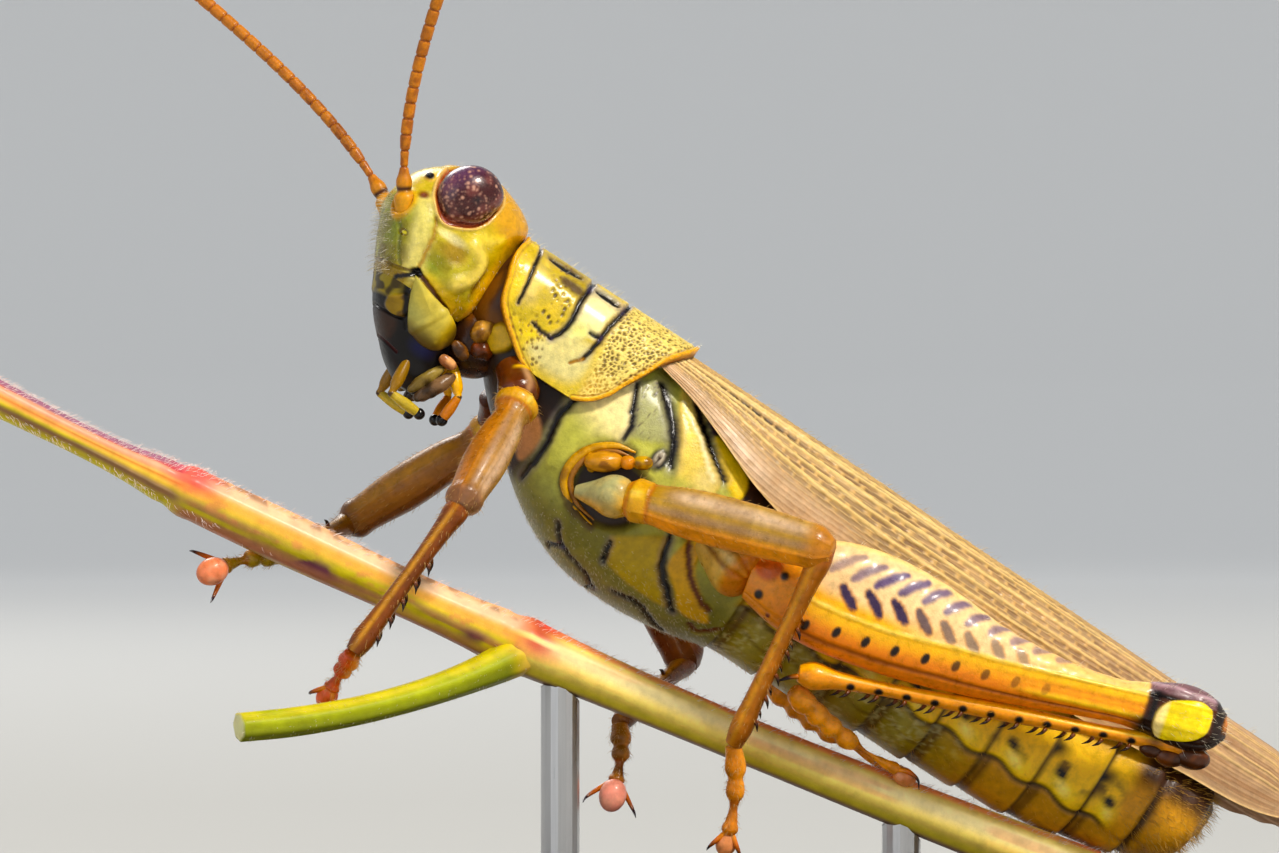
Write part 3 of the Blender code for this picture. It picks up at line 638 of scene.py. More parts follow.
def paint_thorax(skin):
    paint_plates(skin)
    paint_seams(skin, THORAX_SEAMS, 0.35, 1.7, 0.1, 0.35)
    for points in HIND_CREASES:
        skin.line(points, 0.1, 0x54280e, 0.08)
    paint_socket(skin)
    # whitish pile on the breast
    first, _ = cells(skin.chart * np.array((1.0, 1.0, 0.5)), 0.13, 9)
    skin.paint(smooth(-2.0, -2.7, skin.z) * smooth(0.3, 0.1, first) * 0.35, 0xb4b292)


def paint_abdomen(skin):
    """Overlapping rings, yellow above with black marks and olive below, parted along each side."""
    x, z = skin.x, skin.z
    here = smooth(WAIST + 0.3, WAIST - 0.3, x)
    ring = (WAIST - x) / SEGMENT
    part = ring - np.floor(ring)
    rear = smooth(-12.5, -16.5, x)
    fold = FOLD + 0.03 * (WAIST - x) + 0.12 * np.sin(2 * math.pi * ring)
    upper = smooth(fold - 0.08, fold + 0.08, z)
    over, under = here * upper, here * (1 - upper)
    skin.paint(here, 0x807022)
    skin.paint(under * bump(part, 0.55, 0.4) * (1 - rear) * 0.6, 0xa09654)
    skin.paint(under * rear * 0.8, 0xc48e16)
    skin.paint(over, 0xf0c424)
    # painted highlight: a pale yellow gleam on each upper plate, just above the fold
    skin.paint(over * bump(part, 0.5, 0.4) * bump(z, fold + 0.45, 0.5) * 0.7, 0xffee96)
    skin.paint(over * smooth(fold + 1.8, fold + 3.2, z), 0x966e28)
    skin.lift += here * (0.14 * part - 0.06)
    edge = here * bump(part, 0.0, 0.1) + here * bump(part, 1.0, 0.07)
    skin.paint(np.clip(edge, 0, 1) * 0.95, 0x2c180c, -0.04)
    skin.paint(under * bump(part, 0.13, 0.14) * 0.8, 0x462c12)
    skin.paint(here * bump(z, fold, 0.17) * 0.9, 0x2a180c, -0.09)
    skin.paint(here * bump(z, fold - 0.75, 0.1) * (1 - rear) * 0.6, 0x5a4016, -0.04)
    blots = smooth(0.55, 0.7, noise(skin.chart * np.array((1.0, 1, 0.8)), 0.5, 6))
    skin.paint(over * blots * bump(z, fold + 1.1, 0.7) * 0.85, 0x3c220c)
    dots = bump(part, 0.35, 0.19) * bump(z, fold + 0.78, 0.28)
    skin.paint(here * np.clip(dots * 1.6, 0, 1), BLACK)
    skin.paint(here * smooth(0.4, 0.05, part) * bump(z, fold + 1.5, 0.55), BLACK)
    fleck = noise(skin.chart, 0.09, 4) * noise(skin.chart, 0.25, 5)
    skin.paint(under * smooth(0.3, 0.5, fleck) * (1 - rear) * 0.5, 0xbeb682)
    tip = smooth(-20.0, -20.6, x)
    skin.paint(tip, 0xce9614, 0.04)
    skin.paint(tip * bump(x, -21.3, 0.3), UMBER, -0.08)
    skin.paint(tip * smooth(0.6, 1.4, z), 0x3c2210)


def socket_rim(bundle):
    """A golden welt round the front of each middle leg's socket, with a thinner tan one inside it."""
    seat = SOCKET_MIDDLE + np.array((0.0, 0.02, 0.0))
    for share, thick, colour in ((1.0, 0.11, 0xce9c30), (0.87, 0.08, 0x966838)):
        path = spline(seat + (np.array(SOCKET_RIM) - SOCKET_MIDDLE) * share, 12)
        profile = round_profile([(0.0, 0.3 * thick), (0.15, thick), (0.8, thick), (1.0, 0.3 * thick)])
        for hand in HANDS.values():
            welt = Skin(sweep(path * (1, hand, 1), profile, 16, (0, 1.0, 0)), colour, mirror=False)
            welt.paint(smooth(0.5, 0.75, noise(welt.grid, 0.3, 19)) * 0.5, 0x784a18)
            welt.wet[:] = 0.5
            bundle.add_skin(welt, from_insect)


TRUNK_SIDES = 196
THORAX_RINGS = 260
ABDOMEN_RINGS = 150
CUTICLE_DEPTH = 0.06            # how far the cuticle lies inside the solid of the trunk


def make_trunk():
    places = np.concatenate((np.linspace(6.5, -6.2, THORAX_RINGS),
                             np.linspace(-6.28, ABDOMEN_END, ABDOMEN_RINGS)))
    skin = Skin(body_rings(THORAX_ROWS + ABDOMEN_ROWS, places, TRUNK_SIDES, 2.25), GREEN)
    skin.mottle(0.8, 0.12, 1)
    paint_thorax(skin)
    paint_abdomen(skin)
    skin.lift -= CUTICLE_DEPTH
    bundle = Bundle("trunk_skin")
    bundle.add_skin(skin, from_insect)
    socket_rim(bundle)
    bundle.build(finish("cuticle_trunk", 0.38, 0.12, 0.2, 0.3, 0.8, 0.07, coat=0.18, soft=0.04), "thorax",
                 ("thorax", "abdomen_1", "abdomen_2", "abdomen_3", "abdomen_tip"))
    return skin


# ---------------------------------------------------------------- pronotum

PRONOTUM_TOP = 5.15
PRONOTUM_LOW = 1.0
FRONT_MARGIN = [(1.0, 3.9), (1.35, 4.65), (1.9, 5.4), (2.7, 6.27), (3.6, 6.6), (4.5, 6.8), (5.15, 6.65)]
REAR_MARGIN = [(1.0, 3.3), (1.35, 2.43), (2.05, 1.66), (2.6, 1.4), (3.4, 0.98), (4.0, 0.7), (5.15, -0.2)]


def pronotum_grid(inset, rows, columns):
    """A saddle over the front of the trunk, inset from its outer face."""
    angles = np.radians(90 + 89 * np.sin(np.radians(np.linspace(-90, 90, columns))))
    height = PRONOTUM_TOP - PRONOTUM_LOW
    shoulder = 3.0
    rise = np.sin(angles) ** (2 / shoulder)
    level = PRONOTUM_LOW + height * rise
    front = curve_through(FRONT_MARGIN, level)[:, 0]
    rear = curve_through(REAR_MARGIN, level)[:, 0]
    across = np.sign(np.cos(angles)) * np.abs(np.cos(angles)) ** (2 / shoulder)
    t = np.linspace(0, 1, rows)[:, None]
    x = front + t * (rear - front)
    half = np.interp(x, (1.0, 6.6), (2.62, 2.3)) - inset
    top = PRONOTUM_LOW + (height - inset) * rise
    return np.stack((x, half * across, np.broadcast_to(top, x.shape)), -1)


# the cross furrows, each with its width
FURROWS = [
    ([(6.1, 0.0, 5.1), (6.1, 0.9, 4.95), (6.04, 1.67, 4.5), (5.94, 2.05, 3.85), (5.85, 2.24, 3.0)], 0.06),
    ([(3.95, 0.0, 5.15), (4.0, 1.0, 4.95), (4.09, 1.99, 4.14), (4.04, 2.29, 3.26), (4.3, 2.38, 2.6)], 0.1),
    ([(5.1, 2.33, 2.7), (4.7, 2.35, 2.62), (4.3, 2.38, 2.58)], 0.05),
    ([(2.5, 0.0, 5.15), (2.6, 1.2, 4.9), (2.86, 2.13, 3.99), (2.91, 2.33, 3.36), (3.05, 2.44, 2.6)], 0.085),
    ([(2.98, 2.3, 3.5), (3.3, 2.3, 3.45)], 0.07),
    ([(5.6, 1.25, 4.9), (4.55, 1.25, 4.95)], 0.2),
    ([(3.75, 1.45, 4.8), (3.0, 1.5, 4.78)], 0.18)]


def paint_pits(skin, rear):
    """Pits over the rear third, and dark freckles in front of it."""
    x, z = skin.x, skin.z
    first, second = cells(skin.chart, 0.145, 31)
    pit = smooth(0.14, 0.34, second - first)
    high = smooth(1.9, 3.1, z)
    skin.paint(rear * (1 - pit) * 0.8, 0xf6de8c, 0.015)
    skin.paint(pit * (rear * high) * 0.85, 0x54401a, -0.05)
    skin.paint(pit * rear * (1 - high) * 0.5, 0xaa7428, -0.02)
    first, _ = cells(skin.chart * np.array((1.5, 1.0, 1.0)), 0.21, 33)
    freckle = smooth(0.38, 0.2, first) * smooth(4.2, 4.6, x) * smooth(6.1, 5.9, x)
    skin.paint(freckle * smooth(0.35, 0.6, noise(skin.chart, 0.8, 35)) * 0.8, 0x744814, -0.02)
    first, _ = cells(skin.chart * np.array((1.0, 1.0, 0.7)), 0.22, 37)
    dark = smooth(0.4, 0.2, first) * bump(x, 4.75, 0.75) * bump(z, 3.6, 1.3)
    skin.paint(np.clip(dark * 1.4, 0, 1), 0x3c280c, -0.03)
    first, _ = cells(skin.chart, 0.2, 39)
    skin.paint(smooth(0.4, 0.22, first) * smooth(3.9, 4.4, x) * smooth(2.9, 2.3, z) * 0.8, 0x5c4214, -0.02)


def paint_pronotum(skin):
    """Olive and pale yellow fields, a pitted rear third, cross furrows and a keel."""
    x, y, z = skin.x, skin.y, skin.z
    skin.mottle(0.7, 0.1, 21)
    skin.paint(smooth(2.6, 1.9, z) * 0.7, 0xd8be5c)
    skin.plate([(5.9, 4.6), (5.3, 4.7), (5.0, 4.0), (5.3, 3.2), (5.85, 3.2)], 0.3, 0xe8ce8c, 0.0, 0.75)
    skin.paint(smooth(5.95, 6.1, x) * 0.7, 0xecca5c)
    skin.plate([(5.7, 4.9), (4.3, 4.9), (4.2, 3.4), (4.8, 2.8), (5.5, 3.6)], 0.3, 0xc8ac2c, 0.0, 0.75)
    blotch = smooth(0.4, 0.7, noise(skin.chart, 0.4, 23)) * smooth(2.6, 3.4, x)
    skin.paint(blotch * 0.4, 0x968628)
    pale = skin.plate([(3.95, 5.0), (2.75, 4.9), (3.0, 4.2), (3.05, 3.4), (3.3, 3.3), (3.6, 3.0),
                       (4.1, 3.1)], 0.1, 0xeee0a6, 0.03)
    skin.paint(pale * smooth(3.9, 3.3, z), 0xe8e08c)
    skin.plate([(4.1, 3.0), (3.1, 3.1), (2.7, 2.5), (3.0, 1.7), (4.2, 1.6), (4.8, 2.0)], 0.25, 0xded49c,
               0.05, 0.8)
    rear = smooth(2.95, 2.5, x - 0.12 * (z - 3.5))
    skin.paint(rear, 0xc4aa5c)
    skin.paint(rear * smooth(2.6, 1.7, z), 0xdebe68)
    paint_pits(skin, rear)
    paint_seams(skin, FURROWS, 0.4, 1.8, 0.11, 0.3)
    skin.line([(4.87, 1.76, 4.51), (4.34, 1.79, 4.5)], 0.2, 0x543e12, 0.02)
    skin.line([(3.05, 2.44, 2.6), (3.35, 2.45, 2.25)], 0.06, 0x966c28, 0.04)
    # the keel along the back
    skin.paint(smooth(0.16, 0.04, y) * smooth(4.9, 5.1, z), 0xce963c, 0.05)


def paint_edge(skin):
    """A rounded orange bead along the edge of a plate, with a row of fine beads inside it."""
    rows, columns = skin.grid.shape[:2]
    border = np.concatenate((skin.grid[0], skin.grid[-1]))[::3]
    border[:, 1] = np.abs(border[:, 1])
    flat = skin.chart.reshape(-1, 3)
    gap = np.full(len(flat), 9.0)
    for spot in border:
        gap = np.minimum(gap, ((flat - spot) ** 2).sum(1))
    gap = np.sqrt(gap).reshape(rows, columns)
    bead = smooth(0.14, 0.08, gap)
    skin.paint(bead, 0xe8ac22, 0.05)
    skin.lift -= smooth(0.07, 0.0, gap) * 0.05
    skin.paint(bump(gap, 0.17, 0.05) * 0.6, 0x96601a, -0.03)
    first, _ = cells(skin.chart, 0.11, 41)
    skin.lift += bump(gap, 0.33, 0.1) * smooth(0.5, 0.2, first) * 0.03


PRONOTUM_ROWS = 170
PRONOTUM_COLUMNS = 236
PLATE_THICKNESS = 0.3


def grid_rim(rows, columns):
    """Numbers of the points round the border of a grid, in order."""
    rim = list(range(columns))
    rim += [row * columns + columns - 1 for row in range(1, rows)]
    rim += [(rows - 1) * columns + column for column in range(columns - 2, -1, -1)]
    return rim + [row * columns for row in range(rows - 2, 0, -1)]


def make_pronotum():
    """The saddle plate: a painted outer face, a plain inner one and a rim that joins them."""
    grids = [pronotum_grid(inset, PRONOTUM_ROWS, PRONOTUM_COLUMNS) for inset in (0.0, PLATE_THICKNESS)]
    outer, inner = [Skin(grid, colour, closed=False, centre=(3.0, 0.0, 1.0))
                    for grid, colour in zip(grids, (0xd8bc46, 0x78461e))]
    paint_pronotum(outer)
    paint_edge(outer)
    outer.lift -= 0.03
    bundle = Bundle("pronotum_plate")
    bundle.add_skin(outer, from_insect)
    bundle.add_skin(inner, from_insect)
    rim = grid_rim(PRONOTUM_ROWS, PRONOTUM_COLUMNS)
    size = PRONOTUM_ROWS * PRONOTUM_COLUMNS
    for here, beside in zip(rim, rim[1:] + rim[:1]):
        bundle.faces.append([here, beside, beside + size, here + size])
    bundle.build(finish("cuticle_pronotum", 0.42, 0.12, 0.2, 0.25, 0.9, 0.06, coat=0.35, soft=0.03),
                 "pronotum", ("pronotum",))
    return outer


# ---------------------------------------------------------------- head

EYE_CENTRE = np.array((2.28, 1.62, 1.98))
# degrees round the eye from its front, and how far out its edge lies there
EYE_OUTLINE = [
    (-180, 0.98), (-135, 0.96), (-100, 1.02), (-75, 1.16), (-45, 1.1), (0, 1.04), (45, 1.05), (90, 1.12),
    (120, 1.16), (150, 1.16), (180, 0.98)]
HEAD_ROWS = [
    (3.15, 1.9, 1.2, 0.35), (2.95, 2.75, 0.65, 0.85), (2.5, 3.5, -0.15, 1.35), (2.0, 4.0, -0.35, 1.7),
    (1.6, 4.2, -0.3, 1.85), (0.6, 4.36, -0.2, 2.15), (-0.3, 4.05, -0.15, 2.25), (-1.0, 3.72, -0.1, 2.15),
    (-1.6, 3.4, 0.15, 1.85)]
MOUTH_ROWS = [
    (-1.5, 3.42, 0.2, 1.75), (-2.5, 2.9, -0.25, 1.45), (-3.4, 2.12, -0.4, 1.1), (-4.1, 1.35, -0.4, 0.8),
    (-4.43, 0.8, -0.1, 0.35)]


def head_rings(rows, places, sides, power):
    """Level rings down the head. rows are height, front, rear and half width."""
    rings = []
    for z, (front, rear, half_width) in zip(places, curve_through(rows, places)):
        sideways, forward = oval(sides, half_width, 0.5 * (front - rear), 0.5 * (front - rear), power)
        rings.append(np.column_stack((0.5 * (front + rear) + forward, sideways, np.full(sides, z))))
    return np.array(rings)


def eye_reach(x, z):
    """How far a point is from the eye's centre, as a share of the eye's outline."""
    angle = np.degrees(np.arctan2(z - EYE_CENTRE[2], x - EYE_CENTRE[0]))
    edge = curve_through(EYE_OUTLINE, angle.ravel())[:, 0].reshape(angle.shape)
    return np.hypot(x - EYE_CENTRE[0], z - EYE_CENTRE[2]) / edge


# the ridge and the seams of the face and the cheek: points, width, colour, depth, blur and strength
FACE_LINES = [
    ([(3.34, 1.72, 1.0), (3.22, 1.86, 0.6), (3.0, 2.0, -0.05), (2.8, 2.0, -0.7), (2.62, 1.98, -1.2)],
     0.36, 0xded082, -0.1, 0.75, 0.85),
    ([(2.86, 2.05, 0.75), (2.66, 2.12, 0.2), (2.55, 2.1, -0.5), (2.45, 1.98, -1.1)],
     0.06, 0x966c28, 0.08, 0.6, 0.8),
    ([(3.75, 1.4, 0.1), (3.55, 1.55, -0.3), (3.3, 1.6, -0.8), (3.0, 1.7, -1.15)],
     0.07, 0x7a7c22, 0.05, 0.6, 0.7),
    ([(2.47, 1.96, -1.12), (2.14, 2.05, -1.2), (1.53, 2.0, -1.42), (0.86, 1.71, -1.6)],
     0.09, 0x562e12, 0.1, 0.6, 1.0),
    ([(2.55, 1.95, -1.12), (2.9, 1.6, -1.2), (3.4, 0.9, -1.25), (3.6, 0.0, -1.25)],
     0.05, 0x583a18, 0.08, 0.6, 0.8)]
# antenna socket, the pit under it, and the spots in front of the eye: centre, radii, colour, lift and blur
FACE_SPOTS = [((3.9, 1.25, 0.62), (0.56, 0.5, 0.56), 0xd69c2c, 0.1, 0.25),
              ((3.9, 1.25, 0.66), 0.38, 0x6e3c12, -0.14, 0.2),
              ((3.5, 1.6, -0.2), (0.2, 0.3, 0.12), 0x785c22, -0.05, 0.25),
              ((3.5, 1.6, -0.2), (0.12, 0.3, 0.07), 0xd6c854, 0.03, 0.25),
              ((3.56, 1.5, 1.22), (0.2, 0.3, 0.16), 0x743c14, -0.04, 0.5),
              ((3.62, 1.1, 1.9), (0.22, 0.3, 0.2), 0xeec464, 0.05, 0.25)]


def paint_cheek(skin):
    x, y, z = skin.x, skin.y, skin.z
    skin.plate([(2.5, 0.5), (1.0, 0.5), (0.7, -0.6), (1.6, -1.0), (2.4, -0.6)], 0.4, 0xaca43e, 0.0, 0.6)
    skin.spot((1.75, 2.18, 0.12), (0.5, 1.0, 0.36), 0x967032, -0.08, 0.5, 0.7)
    skin.spot((2.15, 2.1, -0.55), (0.5, 1.0, 0.35), 0x748432, -0.05, 0.6, 0.75)
    skin.spot((1.1, 2.1, -0.75), (0.6, 1.0, 0.4), 0x968e3e, 0.06, 0.8, 0.6)
    skin.lift += 0.05 * (noise(skin.chart, 0.9, 57) - 0.5) * smooth(0.6, 1.2, y)
    skin.paint(smooth(0.45, 0.7, noise(skin.chart, 0.45, 59)) * smooth(1.0, 0.4, z) * 0.5, 0x7c6822)
    # painted highlight: a pale gleam on the cheek just under the eye
    skin.spot((2.1, 2.1, 0.5), (0.5, 1.0, 0.14), 0xfaf0be, -0.03, 0.7, 0.6)
    skin.line([(1.2, 1.98, 0.62), (0.8, 1.8, 0.35), (0.75, 1.8, -0.1), (1.2, 1.9, -0.7)], 0.22, 0xeed478,
              -0.12, 0.9, strength=0.6)
    skin.lift -= 0.1 * bump(x, 0.35, 0.3) * bump(z, -0.2, 1.1)
    skin.paint(bump(x, 0.38, 0.22) * bump(z, -0.3, 1.0) * 0.8, 0x744814)
    skin.line([(1.3, 2.05, 0.95), (0.9, 1.9, 1.15), (0.5, 1.6, 1.4)], 0.16, 0xfade6e, -0.03, 0.9,
              strength=0.5)
    skin.paint(smooth(-0.85, -1.3, z) * smooth(2.4, 1.9, x), 0xceac3c, 0.05)
    skin.paint(smooth(0.42, 0.1, x) * smooth(1.4, 0.2, z), 0xe8b01a, 0.04)


def paint_eye_socket(skin):
    """An orange-brown groove with a raised pale rim round it."""
    reach = eye_reach(skin.x, skin.z)
    side = smooth(0.5, 0.9, skin.y)
    skin.paint(side * smooth(1.2, 1.1, reach), 0xe2be78, 0.1)
    skin.paint(side * smooth(1.1, 1.04, reach), 0x964614, -0.14)


def paint_head(skin):
    """Ochre crown, olive face and cheek, with a pale ridge, seams and spots."""
    x, y, z = skin.x, skin.y, skin.z
    skin.mottle(0.6, 0.12, 51)
    skin.paint(smooth(1.3, 2.3, z + 0.5 * (1.4 - x)), 0xce9c1a)
    skin.paint(smooth(1.2, -0.6, x) * smooth(-0.6, 0.8, z) * 0.8, 0xca980e)
    face = smooth(2.6, 3.1, x + 0.25 * z)
    skin.paint(face * smooth(1.2, 0.6, z), 0x969428)
    skin.paint(face * bump(z, -0.2, 0.8) * smooth(2.0, 1.4, y) * 0.6, 0x748022)
    skin.paint(face * smooth(0.8, 0.2, y) * smooth(1.2, 0.6, z) * 0.5, 0xb0aa46)
    paint_cheek(skin)
    for points, width, colour, depth, blur, strength in FACE_LINES:
        skin.line(points, width, colour, depth, blur, strength=strength)
    skin.paint(smooth(2.45, 2.7, x) * smooth(-1.2, -1.35, z), 0x967c28)
    skin.paint(face * smooth(-0.3, -1.0, z) * smooth(0.45, 0.65, noise(skin.chart, 0.3, 58)) * 0.6,
               0x604c1a)
    skin.wet += skin.spot((2.47, 2.0, -1.14), (0.2, 0.5, 0.17), BLACK, -0.12)
    skin.line([(2.5, 1.95, -1.2), (2.75, 1.7, -1.42), (2.95, 1.5, -1.6)], 0.08, BLACK, 0.05)
    for centre, radii, colour, lift, blur in FACE_SPOTS:
        skin.spot(centre, radii, colour, lift, blur)
    # simple eye
    skin.wet += skin.spot((3.66, 1.1, 1.9), (0.15, 0.3, 0.14), BLACK, 0.05, 0.2)
    paint_eye_socket(skin)
    first, _ = cells(skin.chart * np.array((1, 1, 2.5)), 0.2, 55)
    skin.paint(smooth(0.2, 0.08, first) * smooth(1.2, 0.6, x) * smooth(0.0, 0.6, z) * 0.6, 0x965c0e)


HEAD_RINGS = 250
HEAD_SIDES = 250


def make_head():
    places = np.linspace(3.15, -1.62, HEAD_RINGS)
    skin = Skin(head_rings(HEAD_ROWS, places, HEAD_SIDES, 2.4), 0xc8b24e)
    paint_head(skin)
    skin.lift -= 0.04
    look = finish("cuticle_head", 0.29, 0.12, 0.22, 0.3, 0.9, 0.07, coat=0.5, soft=0.02)
    build_piece("head_capsule", [skin], from_head, look, "cuticle_head", "head")
    return skin


EYE_ROWS = 110
EYE_COLUMNS = 180
EYE_DEPTH = 0.84                # how far the lens stands out of the eye's middle plane


def eye_grid(hand):
    """A dome over the eye's outline, flatter below and behind."""
    latitude = np.linspace(0.03, math.pi - 0.03, EYE_ROWS)[:, None]
    around = np.linspace(0, 2 * math.pi, EYE_COLUMNS, endpoint=False)
    edge = curve_through(EYE_OUTLINE, (np.degrees(around) + 180) % 360 - 180)[:, 0]
    out = np.sin(latitude) ** 0.86
    x = EYE_CENTRE[0] + edge * np.cos(around) * out
    z = EYE_CENTRE[2] + edge * np.sin(around) * out
    y = hand * (EYE_CENTRE[1] + EYE_DEPTH * np.cos(latitude) + 0 * around)
    return np.stack((x, y, z), -1)


def paint_eye(skin):
    """Maroon, with pale dapples, a painted blue reflection in front, a dark pupil and a dark edge."""
    lit = noise(skin.chart, 0.35, 61)
    low = smooth(0.9, -0.6, (skin.z - EYE_CENTRE[2]) + 0.5 * (EYE_CENTRE[0] - skin.x))
    skin.paint(smooth(0.35, 0.75, lit) * 0.7, 0x703e3a)
    # painted reflection: a blue-violet tint over the front and top of the eye, standing for the sky seen in
    # it
    front = smooth(0.2, 1.1, (skin.x - EYE_CENTRE[0]) + 0.55 * (skin.z - EYE_CENTRE[2]))
    skin.paint(front * 0.55, 0x705070)
    for size, seed, share in ((0.22, 63, 0.8), (0.15, 65, 0.55)):
        first, _ = cells(skin.chart, size, seed)
        dapple = smooth(0.42, 0.1, first) * smooth(0.25, 0.6, noise(skin.chart, 0.5, seed + 1) + 0.3 * low)
        skin.paint(dapple * share, 0xcea08c)
    skin.spot(EYE_CENTRE + np.array((-0.15, 0.8, 0.0)), 0.16, 0x1e0a12, 0.0, 0.8, 0.9)
    skin.paint(smooth(0.94, 1.0, eye_reach(skin.x, skin.z)) * 0.6, 0x280e0a)


def make_eyes():
    made = finish("eye_lens", 0.28, 0.04, 0.12, 0.12, 0.22, 0.05, coat=0.7, facets=0.035)
    for side, hand in HANDS.items():
        skin = Skin(eye_grid(hand), 0x3a1414)
        paint_eye(skin)
        build_piece(f"eye_{side}_dome", [skin], from_head, made, "eye", f"eye_{side}")


def ball(centre, axes, colour, rows, columns, power=1.0):
    """An oval body. axes are its three half axes, the first along its length."""
    centre = np.asarray(centre, float)
    axes = np.asarray(axes, float)
    latitude = np.linspace(0.02, math.pi - 0.02, rows)[:, None]
    around = np.linspace(0, 2 * math.pi, columns, endpoint=False)
    girth = np.sin(latitude) ** power
    grid = (centre + np.cos(latitude)[..., None] * axes[0] + (girth * np.cos(around))[..., None] * axes[1]
            + (girth * np.sin(around))[..., None] * axes[2])
    return Skin(grid, colour, mirror=False)


def along_axes(way, up, length, width, height):
    """Half axes of an oval body that lies along way."""
    way = unit(way)
    side = unit(np.cross(up, way))
    return np.array((way * length, side * width, np.cross(way, side) * height))


def cone(bundle, path, radii, colours, place, sides=8):
    """A tapering curved spike or rod through the points."""
    path = spline(path, 4)
    profile = round_profile([(t, float(r)) for t, r in zip(np.linspace(0, 1, len(radii)), radii)])
    skin = Skin(sweep(path, profile, sides, (0.31, 0.52, 0.79)), colours[0], mirror=False)
    t = np.linspace(0, 1, len(path))[:, None]
    steps = np.linspace(0, 1, len(colours))
    channels = zip(*[rgb(colour) for colour in colours])
    shades = np.stack([np.interp(t[:, 0], steps, channel) for channel in channels], -1)
    skin.tint = np.broadcast_to(shades[:, None], skin.grid.shape).copy()
    skin.wet[:] = 0.7
    bundle.add_skin(skin, place)


# ---------------------------------------------------------------- mouth

def dome(outline, centre, rise, base_y, colour, rings=26):
    """A domed plate on the side of the mouth, inside an outline in x and z. base_y gives its seat."""
    outline = spline(list(outline) + [outline[0]], 6)[:-1]
    centre = np.asarray(centre, float)
    out = np.concatenate((np.linspace(0.03, 1.0, rings), np.linspace(0.96, 0.3, 8)))
    under = np.arange(len(out)) >= rings
    flat = centre + out[:, None, None] * (outline - centre)
    height = np.where(under, -0.3 * (1 - out) - 0.12, rise * np.sqrt(np.clip(1 - out ** 2, 0, 1)))
    y = base_y(flat[..., 0], flat[..., 1]) + height[:, None]
    return Skin(np.stack((flat[..., 0], y, flat[..., 1]), -1), colour, mirror=False)


JAW = [
    (2.43, -1.2), (2.19, -1.83), (1.88, -2.38), (1.59, -2.75), (1.18, -2.93), (0.72, -2.98), (0.32, -2.82),
    (0.07, -2.4), (0.18, -1.95), (0.55, -1.7), (1.1, -1.53), (1.75, -1.38), (2.12, -1.28)]
# centre, way, half length, half width and half height of the lobes and knobs round the mouth, their colour,
# and the darker colour of their stains and of the painted shade on their lower sides
LOBES = [((0.11, 0.95, -3.79), (0.4, 0, -0.91), 0.74, 0.22, 0.2, 0x968046, 0x382816),
         ((-0.29, 0.95, -3.88), (0.45, 0, -0.9), 0.82, 0.27, 0.28, 0x785c42, 0x140e0c),
         ((-0.2, 1.1, -2.95), (1.0, 0, 0.1), 0.34, 0.2, 0.18, 0xe2aa78, 0x783c22),
         ((-0.58, 1.3, -1.46), (-0.5, 0, 0.86), 0.46, 0.36, 0.34, 0xce9c54, 0x543014),
         ((-0.95, 1.2, -2.0), (0.8, 0, -0.3), 0.42, 0.34, 0.3, 0x7e401a, 0x22120a),
         ((-0.3, 1.2, -2.4), (0.9, 0, 0.3), 0.4, 0.24, 0.16, 0x6e4622, 0x28180e),
         ((-0.79, 1.25, -0.76), (0.7, 0, 0.7), 0.34, 0.3, 0.24, 0x82522a, 0x3c2212)]
MOUTH_RINGS = 150
MOUTH_SIDES = 190
JAW_CENTRE = (1.15, -2.1)
JAW_RISE = 0.34


def jaw_seat(x, z):
    """How far out the jaw's base lies, less towards its tip and its rear."""
    return 1.32 + 0.36 * (z + 2.95) - 0.35 * smooth(0.7, -0.1, x)


def make_mouth_core():
    """A black core with the upper lip, the shield above the jaw, a painted blue sheen and the seams."""
    core = Skin(head_rings(MOUTH_ROWS, np.linspace(-1.5, -4.43, MOUTH_RINGS), MOUTH_SIDES, 2.4), 0x090709)
    x, z = core.x, core.z
    mark = noise(core.chart, 0.28, 71)
    upper = smooth(2.3, 2.6, x - 0.3 * (z + 2.0)) * smooth(-2.3, -2.1, z)
    core.paint(upper, 0x968424, 0.04)
    core.paint(upper * smooth(0.45, 0.65, mark) * 0.9, 0x2c1e10)
    shield = core.plate([(2.72, -2.2), (2.48, -1.98), (2.2, -1.86), (1.9, -2.4), (2.2, -2.66), (2.6, -2.5)],
                        0.07, 0x886e2c, 0.1)
    core.paint(shield * smooth(0.42, 0.6, mark) * 0.8, 0x3c2610)
    lip = core.inside([(2.75, -2.6), (2.4, -2.7), (2.05, -2.75), (1.9, -3.2), (2.1, -3.5), (2.5, -3.2)],
                      0.12)
    core.paint(lip * 0.4, 0x503626, 0.05)
    core.paint(lip * smooth(0.5, 0.65, mark) * 0.8, 0x281a14)
    # painted sheen: a blue spot on the black of the lower mouth
    core.spot((0.8, 1.2, -3.05), (0.4, 0.5, 0.26), 0x14184c, 0.0, 0.8, 0.8)
    for points, width, colour, depth in (
            ([(2.95, 0.0, -2.62), (2.6, 0.8, -2.66), (1.95, 1.3, -2.6)], 0.05, BLACK, 0.1),
            ([(2.3, 0.0, -3.5), (2.0, 0.6, -3.55), (1.5, 1.0, -3.65)], 0.05, 0x461814, 0.1),
            ([(2.5, 1.85, -1.5), (2.3, 1.6, -1.85), (1.95, 1.45, -2.4), (1.65, 1.4, -2.8)], 0.09, BLACK,
             0.06)):
        core.line(points, width, colour, depth)
    core.lift -= 0.05
    return core


